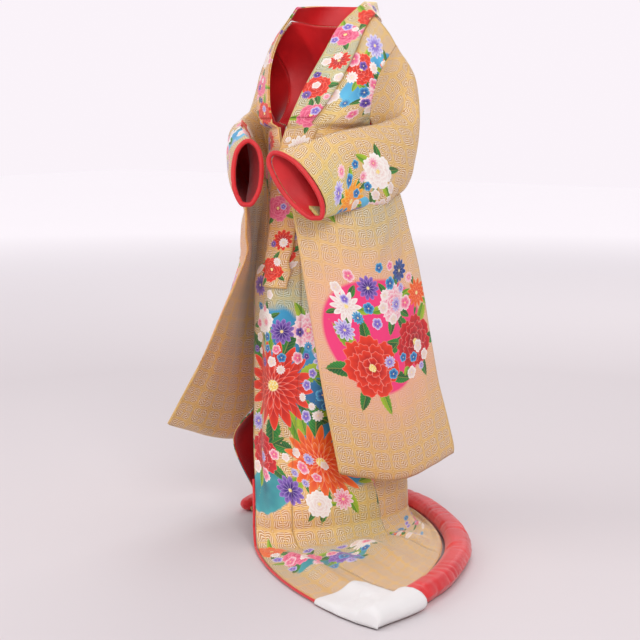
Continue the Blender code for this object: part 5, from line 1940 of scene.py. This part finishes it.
@dataclass
class HemRoll:
    """The padded roll that the red lining makes at the hem."""

    voxel: float = 0.006
    pressure: float = 4.0
    cap: float = 0.005
    frames: int = 20
    end_length: float = 0.030

    def gathered(self, points: Array, form: RobeForm) -> Array:
        """Pulls the roll in across its length, in wrinkles that are uneven in depth and length.

        Args:
            points: the roll's points, heights from the shoulders.
            form: the robe's form.

        Returns:
            The points, pulled in.
        """
        places = np.linspace(0, 5.97, 480)
        outer, out, width = form.hem_line(places)
        line = outer - out * width[:, None] * 0.5
        near = np.array([np.argmin(np.sum((line - p[:2]) ** 2, axis=1)) for p in points])
        steps = lengths(line)
        along = steps[near]
        middle = np.concatenate([line[near], np.full((len(points), 1), 0.022 - SHOULDER_HEIGHT)], axis=1)
        away = points - middle
        turn = np.arctan2(away[:, 2], np.sum(away[:, :2] * out[near], axis=1))
        vary = np.random.default_rng(5)
        pull = np.zeros(len(points))
        at = 0.02
        while at < steps[-1]:
            wide = vary.uniform(0.0045, 0.010)
            centre, spread = vary.uniform(-0.4, 2.8), vary.uniform(0.5, 1.3)
            slant = vary.uniform(-0.012, 0.012)
            off = along - at - slant * (turn - 1.2)
            reach = np.exp(-(((turn - centre) / spread) ** 2))
            pull += vary.uniform(0.0016, 0.0042) * np.exp(-((off / wide) ** 2)) * reach
            at += vary.uniform(0.016, 0.046)
        ends = np.minimum(along, steps[-1] - along) / self.end_length
        keep = np.sqrt(1 - (1 - np.clip(ends, 0.0, 1.0)) ** 2)[:, None]
        away, points = away * keep, middle + away * keep
        size = np.linalg.norm(away, axis=1, keepdims=True)
        return points - away / np.maximum(size, 1e-6) * np.minimum(pull, 0.0065)[:, None]

    def build(self, node: Object, form: RobeForm, finish: Material) -> Object:
        """Copies the solid's mesh, plumps it as a cloth with pressure and wrinkles it.

        Args:
            node: the CAD solid that it stands for.
            form: the robe's form.
            finish: its material.

        Returns:
            The piece.
        """
        piece = bpy.data.objects.new("padded_hem", node.data.copy())
        bpy.context.scene.collection.objects.link(piece)
        activate(piece)
        piece.data.remesh_voxel_size = self.voxel
        bpy.ops.object.voxel_remesh()
        count = len(piece.data.vertices)
        start = np.empty(count * 3, np.float32)
        piece.data.vertices.foreach_get("co", start)
        start = start.reshape(-1, 3).astype(float)
        moved = start.copy()
        moved = self.plumped(piece, start)
        moved = self.gathered(moved, form)
        moved[:, 2] = np.clip(moved[:, 2], 0.0005 - SHOULDER_HEIGHT, None)
        piece.data.vertices.foreach_set("co", moved.reshape(-1).astype(np.float32))
        piece.data.update()
        finer = piece.modifiers.new("finer", "SUBSURF")
        finer.levels = finer.render_levels = 1
        bpy.ops.object.modifier_apply(modifier="finer")
        piece.data.materials.clear()
        piece.data.materials.append(finish)
        piece.data.shade_smooth()
        return piece

    def plumped(self, piece: Object, start: Array) -> Array:
        """Simulates the roll as a cloth under pressure, and caps how far it moves."""
        cloth = piece.modifiers.new("plump", "CLOTH")
        cloth.settings.use_pressure = True
        cloth.settings.uniform_pressure_force = self.pressure
        cloth.settings.effector_weights.gravity = 0.0
        cloth.settings.quality = 4
        cloth.collision_settings.use_collision = False
        cloth.point_cache.frame_start = 1
        cloth.point_cache.frame_end = self.frames
        scene = bpy.context.scene
        for number in range(1, self.frames + 1):
            scene.frame_set(number)
        shaped = piece.evaluated_get(bpy.context.evaluated_depsgraph_get())
        end = np.empty(len(start) * 3, np.float32)
        shaped.data.vertices.foreach_get("co", end)
        piece.modifiers.remove(cloth)
        scene.frame_set(1)
        move = end.reshape(-1, 3).astype(float) - start
        far = np.linalg.norm(move, axis=1, keepdims=True)
        return start + move * np.minimum(1.0, self.cap / np.maximum(far, 1e-9))


def smooth_loop(points: Array, count: int, closed: bool) -> Array:
    """Draws a smooth, evenly parted line through a few points."""
    line = np.concatenate([points[-2:], points, points[:3]]) if closed else points
    first = 2.0 if closed else 0.0
    last = first + len(points) if closed else len(points) - 1.0
    at = np.linspace(first, last, count * 8)
    fine = read_grid(line[None].repeat(2, 0), np.zeros(len(at)), at)
    steps = lengths(fine)
    even = np.linspace(0, steps[-1], count + (1 if closed else 0))
    made = read_line(even, steps, fine)
    return made[:-1] if closed else made


def roll_piece(
    name: str, line: Array, radius: float, finish: Material, closed: bool, seed: int
) -> Object:
    """Builds a thin padded roll along a line, with small uneven puckers.

    Args:
        name: the piece's name.
        line: its middle, heights above the floor.
        radius: its radius.
        finish: its material.
        closed: whether it runs into itself.
        seed: where its own row of variations starts.

    Returns:
        The piece.
    """
    sides = 16
    vary = np.random.default_rng(seed)
    if closed:
        ahead, behind = np.roll(line, -1, axis=0), np.roll(line, 1, axis=0)
        run = ahead - behind
    else:
        run = np.gradient(line, axis=0)
    run = unit(run)
    centre = line.mean(axis=0)
    first = line - centre
    first = first - run * np.sum(first * run, axis=1, keepdims=True)
    if not closed:
        first = np.broadcast_to(np.array([0.0, 0.0, 1.0]), line.shape)
        first = first - run * np.sum(first * run, axis=1, keepdims=True)
    first = unit(first)
    second = np.cross(run, first)
    turns = np.arange(sides) * 2 * math.pi / sides
    pull = np.zeros((len(line), sides))
    step = float(np.linalg.norm(line[1] - line[0]))
    at = 0.0
    while at < len(line) * step:
        off = np.arange(len(line)) * step - at
        off_turn = (turns - vary.uniform(0, 2 * math.pi) + math.pi) % (2 * math.pi) - math.pi
        reach = np.exp(-(off_turn**2) / 1.4)
        pull += np.exp(-((off / 0.0035) ** 2))[:, None] * reach * vary.uniform(0.06, 0.20)
        at += vary.uniform(0.008, 0.020)
    size = radius * (0.99 - np.minimum(pull, 0.3))
    ring = first[:, None] * np.cos(turns)[None, :, None] + second[:, None] * np.sin(turns)[None, :, None]
    points = line[:, None] + ring * size[..., None]
    if not closed:
        caps = line[[0, -1]] + run[[0, -1]] * np.array([[-radius * 0.5], [radius * 0.5]])
    points = points.reshape(-1, 3)
    ids = np.arange(len(points)).reshape(-1, sides)
    if closed:
        ids = np.concatenate([ids, ids[:1]])
    ids = np.concatenate([ids, ids[:, :1]], axis=1)
    quads = np.stack([ids[:-1, :-1], ids[:-1, 1:], ids[1:, 1:], ids[1:, :-1]], -1).reshape(-1, 4)
    faces = [tuple(q) for q in quads.tolist()]
    if not closed:
        low, high = len(points), len(points) + 1
        points = np.concatenate([points, caps])
        for k in range(sides):
            faces.append((low, int(ids[0, k + 1]), int(ids[0, k])))
            faces.append((high, int(ids[-1, k]), int(ids[-1, k + 1])))
    points = points - np.array([0, 0, SHOULDER_HEIGHT])
    return plain_piece(name, points, faces, finish)


def plain_piece(
    name: str, points: Array, faces: list[Face], finish: Material
) -> Object:
    """Makes a smooth piece of points and faces, with its faces turned outward."""
    data = bpy.data.meshes.new(name)
    data.from_pydata(points.tolist(), [], faces)
    data.validate()
    data.shade_smooth()
    data.materials.append(finish)
    piece = bpy.data.objects.new(name, data)
    bpy.context.scene.collection.objects.link(piece)
    activate(piece)
    bpy.ops.object.mode_set(mode="EDIT")
    bpy.ops.mesh.select_all(action="SELECT")
    bpy.ops.mesh.normals_make_consistent(inside=False)
    bpy.ops.object.mode_set(mode="OBJECT")
    piece.select_set(False)
    return piece


@dataclass
class CuffRoll:
    """The padded red edge of a cuff."""

    sleeve: Sleeve
    radius: float = 0.0065

    def build(self, finish: Material) -> Object:
        """Builds the roll on its sleeve's opening."""
        loop, onward = self.sleeve.cuff()
        left = self.sleeve.side is Side.LEFT
        line = smooth_loop(loop, 190, True) + onward * (self.radius + (0.0035 if left else 0.0012))
        name = f"cuff_edge_{self.sleeve.side.label}"
        return roll_piece(name, line, self.radius, finish, True, 3 if left else 4)


@dataclass
class EdgePiping:
    """The thin red edge along the trailing left front."""

    form: RobeForm
    radius: float = 0.0035

    def build(self, finish: Material) -> Object:
        """Builds the edge from the shin down to the hem roll."""
        heights = np.linspace(0.15, SKIRT_FOOT, 12)
        reaches = self.form.reaches[1:-1]
        pair = []
        for place in (6.0, 5.9):
            down = self.form.standing(np.full(12, place), heights)
            pair.append(np.concatenate([down, self.form.lying(np.full(len(reaches), place), reaches)]))
        away = pair[0] - pair[1]
        away = unit(away)
        line = pair[0] + away * (self.radius + 0.0020)
        line[:, 2] = np.maximum(line[:, 2], self.radius + 0.0005)
        return roll_piece("front_edge", smooth_loop(line, 260, False), self.radius, finish, False, 6)


@dataclass
class InnerLining:
    """The red silk inside the right front."""

    form: RobeForm
    inward: float = 0.0033
    upto: float = 1.745
    flat: tuple[float, float] = (0.36, 0.50)

    def build(self, finishes: Finishes) -> Object:
        """Builds the lining with a few soft creases."""
        heights = np.linspace(SKIRT_FOOT, 0.545, 42)
        grid = self.form.standing(np.linspace(0, self.upto, 61)[None, :], heights[:, None])
        grid = self.form.raised(grid, -self.inward)[1:-1]
        marks = heights[1:-1] - SKIRT_FOOT
        creases = (
            Crease(0.05, 0.02, 0.09, 0.40, 0.016, 0.0010),
            Crease(0.14, 0.05, 0.12, 0.46, 0.018, -0.0016),
            Crease(0.21, 0.01, 0.25, 0.38, 0.015, 0.0009),
            Crease(0.31, 0.08, 0.30, 0.44, 0.018, -0.0015),
        )
        patch = Patch.evenly(grid, marks, 61, start=np.zeros(len(marks)), creases=creases, lift=0.0008)
        return cloth_piece("inner_lining", [(patch, Pattern(GOLD_GROUND))], finishes, 0.0016)


@dataclass
class CornerCover:
    """The white cloth laid over the trailing corner of the hem."""

    form: RobeForm
    clearance: float = 0.0085
    flat: tuple[float, float] = (0.26, 0.19)

    def build(self, finishes: Finishes) -> Object:
        """Builds the cover from above the cloth, over the roll, down to the floor."""
        turns = np.radians([168, 140, 110, 80, 50, 20, -8, -34])
        rows = []
        for place in np.linspace(5.12, 5.985, 25):
            over = self.form.lying(np.full(4, place), np.array([0.76, 0.83, 0.90, 0.96]))
            over[:, 2] += self.clearance
            rows.append(np.concatenate([over, self.form.roll_ring(place, 0.0065, turns)]))
        grid = np.array(rows)
        onward = grid[-1] - grid[-2]
        onward = unit(onward)
        shoulder, edge = grid[-1] + onward * 0.012, grid[-1] + onward * 0.016
        shoulder[:, 2] = grid[-1, :, 2] * 0.75 + 0.002
        edge[:, 2] = 0.004
        grid = np.concatenate([grid, shoulder[None], edge[None]])
        grid[..., 2] = np.maximum(grid[..., 2], 0.004)
        steps = np.linalg.norm(np.diff(grid, axis=0), axis=2).mean(axis=1)
        marks = np.concatenate([[0], np.cumsum(steps)])
        creases = (
            Crease(0.03, 0.02, 0.12, 0.14, 0.010, 0.0030),
            Crease(0.10, 0.00, 0.07, 0.17, 0.009, -0.0024),
            Crease(0.02, 0.15, 0.15, 0.20, 0.011, 0.0028),
            Crease(0.16, 0.03, 0.12, 0.15, 0.010, 0.0030),
            Crease(0.06, 0.08, 0.20, 0.12, 0.008, 0.0020),
        )
        rest = {"start": np.zeros(len(marks)), "creases": creases, "lift": 0.0010, "step": 0.005}
        patch = Patch.evenly(grid, marks, 41, **rest)
        patch.flip = bool(normals_of(grid)[12, 2, 2] < 0)
        return cloth_piece("corner_cloth", [(patch, Pattern(GOLD_GROUND))], finishes, 0.0018)


@dataclass
class Stitches:
    """Short stitches along the sewn edge of the neck band and along the hem."""

    form: RobeForm
    length: float = 0.0042
    radius: float = 0.00045
    pitch: float = 0.0105

    def bead(self, at: Array, run: Array, up: Array, first: int) -> tuple[list[Array], list[Face]]:
        """Makes one stitch: a slim bead, round and pointed at both ends."""
        side = np.cross(run, up)
        points = [at - run * self.length / 2]
        for share in (-0.3, 0.3):
            for k in range(6):
                turn = math.pi / 3 * k
                ring = (side * math.cos(turn) + up * math.sin(turn)) * self.radius
                points.append(at + run * self.length * share + ring)
        points.append(at + run * self.length / 2)
        faces: list[Face] = []
        for k in range(6):
            a, b = first + 1 + k, first + 1 + (k + 1) % 6
            faces += [(first, b, a), (a, b, b + 6, a + 6), (first + 13, a + 6, b + 6)]
        return points, faces

    def build(self, name: str, lines: list[tuple[Array, Array]], finish: Material) -> Object:
        """Builds the stitches along lines.

        Args:
            name: the piece's name.
            lines: each line's points with the cloth's outward directions there.
            finish: the thread.

        Returns:
            The piece.
        """
        points: list[Array] = []
        faces: list[Face] = []
        for line, ups in lines:
            steps = lengths(line)
            for at in np.arange(self.pitch, steps[-1] - self.pitch, self.pitch):
                here, next_to, up = (
                    np.array([np.interp(d, steps, values[:, k]) for k in range(3)])
                    for d, values in ((at, line), (at + 0.003, line), (at, ups))
                )
                run = (next_to - here) / np.linalg.norm(next_to - here)
                up = up - run * float(up @ run)
                made = self.bead(here, run, up / np.linalg.norm(up), len(points))
                points += made[0]
                faces += made[1]
        return plain_piece(name, np.array(points) - np.array([0, 0, SHOULDER_HEIGHT]), faces, finish)

    def band_lines(self) -> list[tuple[Array, Array]]:
        """Gives the line near the band's sewn edge, on the band's outer surface."""
        band = self.form.band_grid(17)
        raised = self.form.raised(band, 0.0021)
        normal = self.form.raised(band, 1.0) - band
        return [(raised[3:-3, 15], normal[3:-3, 15])]

    def hem_lines(self) -> list[tuple[Array, Array]]:
        """Gives the line along the cloth's edge, just above the hem roll."""
        places = np.linspace(0.02, 5.10, 420)
        line = self.form.lying(places, np.full(places.shape, 0.985))
        line[:, 2] += 0.0020
        return [(line, np.broadcast_to(np.array([0.0, 0.0, 1.0]), line.shape))]


LIGHTS = (
    ("key", (3.6, -3.4, 2.6), 2.6, 125),
    ("fill", (-3.6, -3.2, 1.6), 3.2, 70),
    ("back", (-1.4, 3.8, 2.6), 3.0, 70),
    ("top", (0.2, -0.4, 3.6), 3.4, 30),
)


@dataclass
class Studio:
    """A flat pale paper floor, soft lights and the camera."""

    camera_at: Triple = (2.327, -3.254, -0.21)
    camera_turn: Triple = (81.54, 0.0, 36.0)
    lens: float = 83.25
    sensor: float = 36.0
    floor_size: float = 30.0
    floor_gap: float = 0.0004  # below the height of nought
    aim: Triple = (0.0, 0.0, -0.6)
    air: tuple[float, float, float, float] = (1.0, 0.935, 0.99, 1.0)
    air_light: float = 0.60
    air_seen: float = 0.36  # added where the camera sees it
    finish: Backdrop = field(default_factory=Backdrop)

    def sweep(self) -> Object:
        """Builds the floor."""
        bpy.ops.object.select_all(action="DESELECT")
        below = (0, 0, -SHOULDER_HEIGHT - self.floor_gap)
        bpy.ops.mesh.primitive_plane_add(size=self.floor_size, location=below)
        floor = bpy.context.object
        floor.name = "paper_floor"
        bpy.ops.object.transform_apply(location=True, rotation=True, scale=True)
        floor.data.materials.append(self.finish.make())
        return floor

    def light(self, name: str, at: Triple, size: float, power: float) -> None:
        """Adds a soft square light that looks at the robe's middle."""
        data = bpy.data.lights.new(name, "AREA")
        data.size, data.energy = size, power
        lamp = bpy.data.objects.new(name, data)
        lamp.location = at
        aim = np.array(self.aim) - np.array(at)
        flat = float(np.hypot(aim[0], aim[1]))
        lamp.rotation_euler = (math.atan2(flat, -aim[2]), 0.0, math.atan2(aim[1], aim[0]) - math.pi / 2)
        bpy.context.scene.collection.objects.link(lamp)

    def build(self) -> None:
        """Builds the whole studio."""
        self.sweep()
        for name, at, size, power in LIGHTS:
            self.light(name, at, size, power)
        world = bpy.data.worlds.new("studio air")
        world.use_nodes = True
        air = world.node_tree.nodes["Background"]
        air.inputs["Color"].default_value = self.air
        w = Wire(world.node_tree)
        seen = w.node("ShaderNodeLightPath").outputs["Is Camera Ray"]
        w.feed(air.inputs["Strength"], w.times_plus(seen, self.air_seen, self.air_light))
        bpy.context.scene.world = world
        bpy.context.scene.view_settings.view_transform = "Standard"
        data = bpy.data.cameras.new("camera")
        data.lens, data.sensor_width = self.lens, self.sensor
        camera = bpy.data.objects.new("camera", data)
        camera.location = self.camera_at
        camera.rotation_euler = tuple(math.radians(value) for value in self.camera_turn)
        bpy.context.scene.collection.objects.link(camera)
        bpy.context.scene.camera = camera


def put(piece: Object, *nodes: str) -> Object:
    """Puts a piece on the robe in place of its solids, and logs it."""
    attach(piece, "root")
    if nodes:
        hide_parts(*nodes)
    faces = len(piece.data.polygons)
    LOG.info("%s: %d faces", piece.name, faces)
    return piece


def rename(piece: Object, name: str) -> Object:
    """Gives a piece its maker's name."""
    piece.name = name
    piece.data.name = name
    return piece


def main() -> None:
    """Builds every piece in order."""
    logging.basicConfig(level=logging.INFO, format="%(message)s")
    form = RobeForm()
    silk = Brocade().make()
    scarlet = PlainSilk("scarlet silk", (0.78, 0.018, 0.022), (0.60, 0.010, 0.016)).make()
    white = Cotton().make()
    cloth = (silk, scarlet)
    fronts = {Side.LEFT: front_pattern(11), Side.RIGHT: front_pattern(23)}
    back = back_pattern()
    for side, label in ((Side.LEFT, "left"), (Side.RIGHT, "right")):
        length = BodyLength(side, form, (0.31, 3.30) if side is Side.LEFT else (0.30, 2.87))
        piece = put(rename(length.build(fronts[side], back, cloth), f"{label}_length"), f"body_{label}")
        gore = put(rename(Gore(side, form).build(fronts[side], cloth), f"{label}_gore"), f"gore_{label}")
    band, cover = NeckBand(form).build(band_pattern(), cloth)
    put(rename(band, "neck_strip"), "neck_band")
    put(rename(cover, "neck_cover"), "band_cover")
    for side, label in ((Side.LEFT, "left"), (Side.RIGHT, "right")):
        sleeve = Sleeve(side, form)
        faces = [sleeve_pattern(side, outer) for outer in (True, False)]
        piece = put(rename(sleeve.build(*faces, cloth), f"{label}_sleeve"), f"sleeve_{label}")
        roll = put(CuffRoll(sleeve).build(scarlet), f"cuff_roll_{label}")
    hem = put(HemRoll().build(bpy.data.objects["hem_roll"], form, scarlet), "hem_roll")
    edge = put(EdgePiping(form).build(scarlet), "edge_piping")
    lining = InnerLining(form)
    inside = put(lining.build((scarlet, scarlet)), "lining_right")
    corner_cloth = CornerCover(form)
    over = put(corner_cloth.build((white, white)), "corner_cover")
    stitches = Stitches(form)
    gold = Thread("gold thread", (0.78, 0.58, 0.24)).make()
    red = Thread("red thread", (0.66, 0.02, 0.03)).make()
    put(stitches.build("band_stitches", stitches.band_lines(), gold))
    put(stitches.build("hem_stitches", stitches.hem_lines(), red))
    Studio().build()


if __name__ == "__main__":
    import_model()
    main()
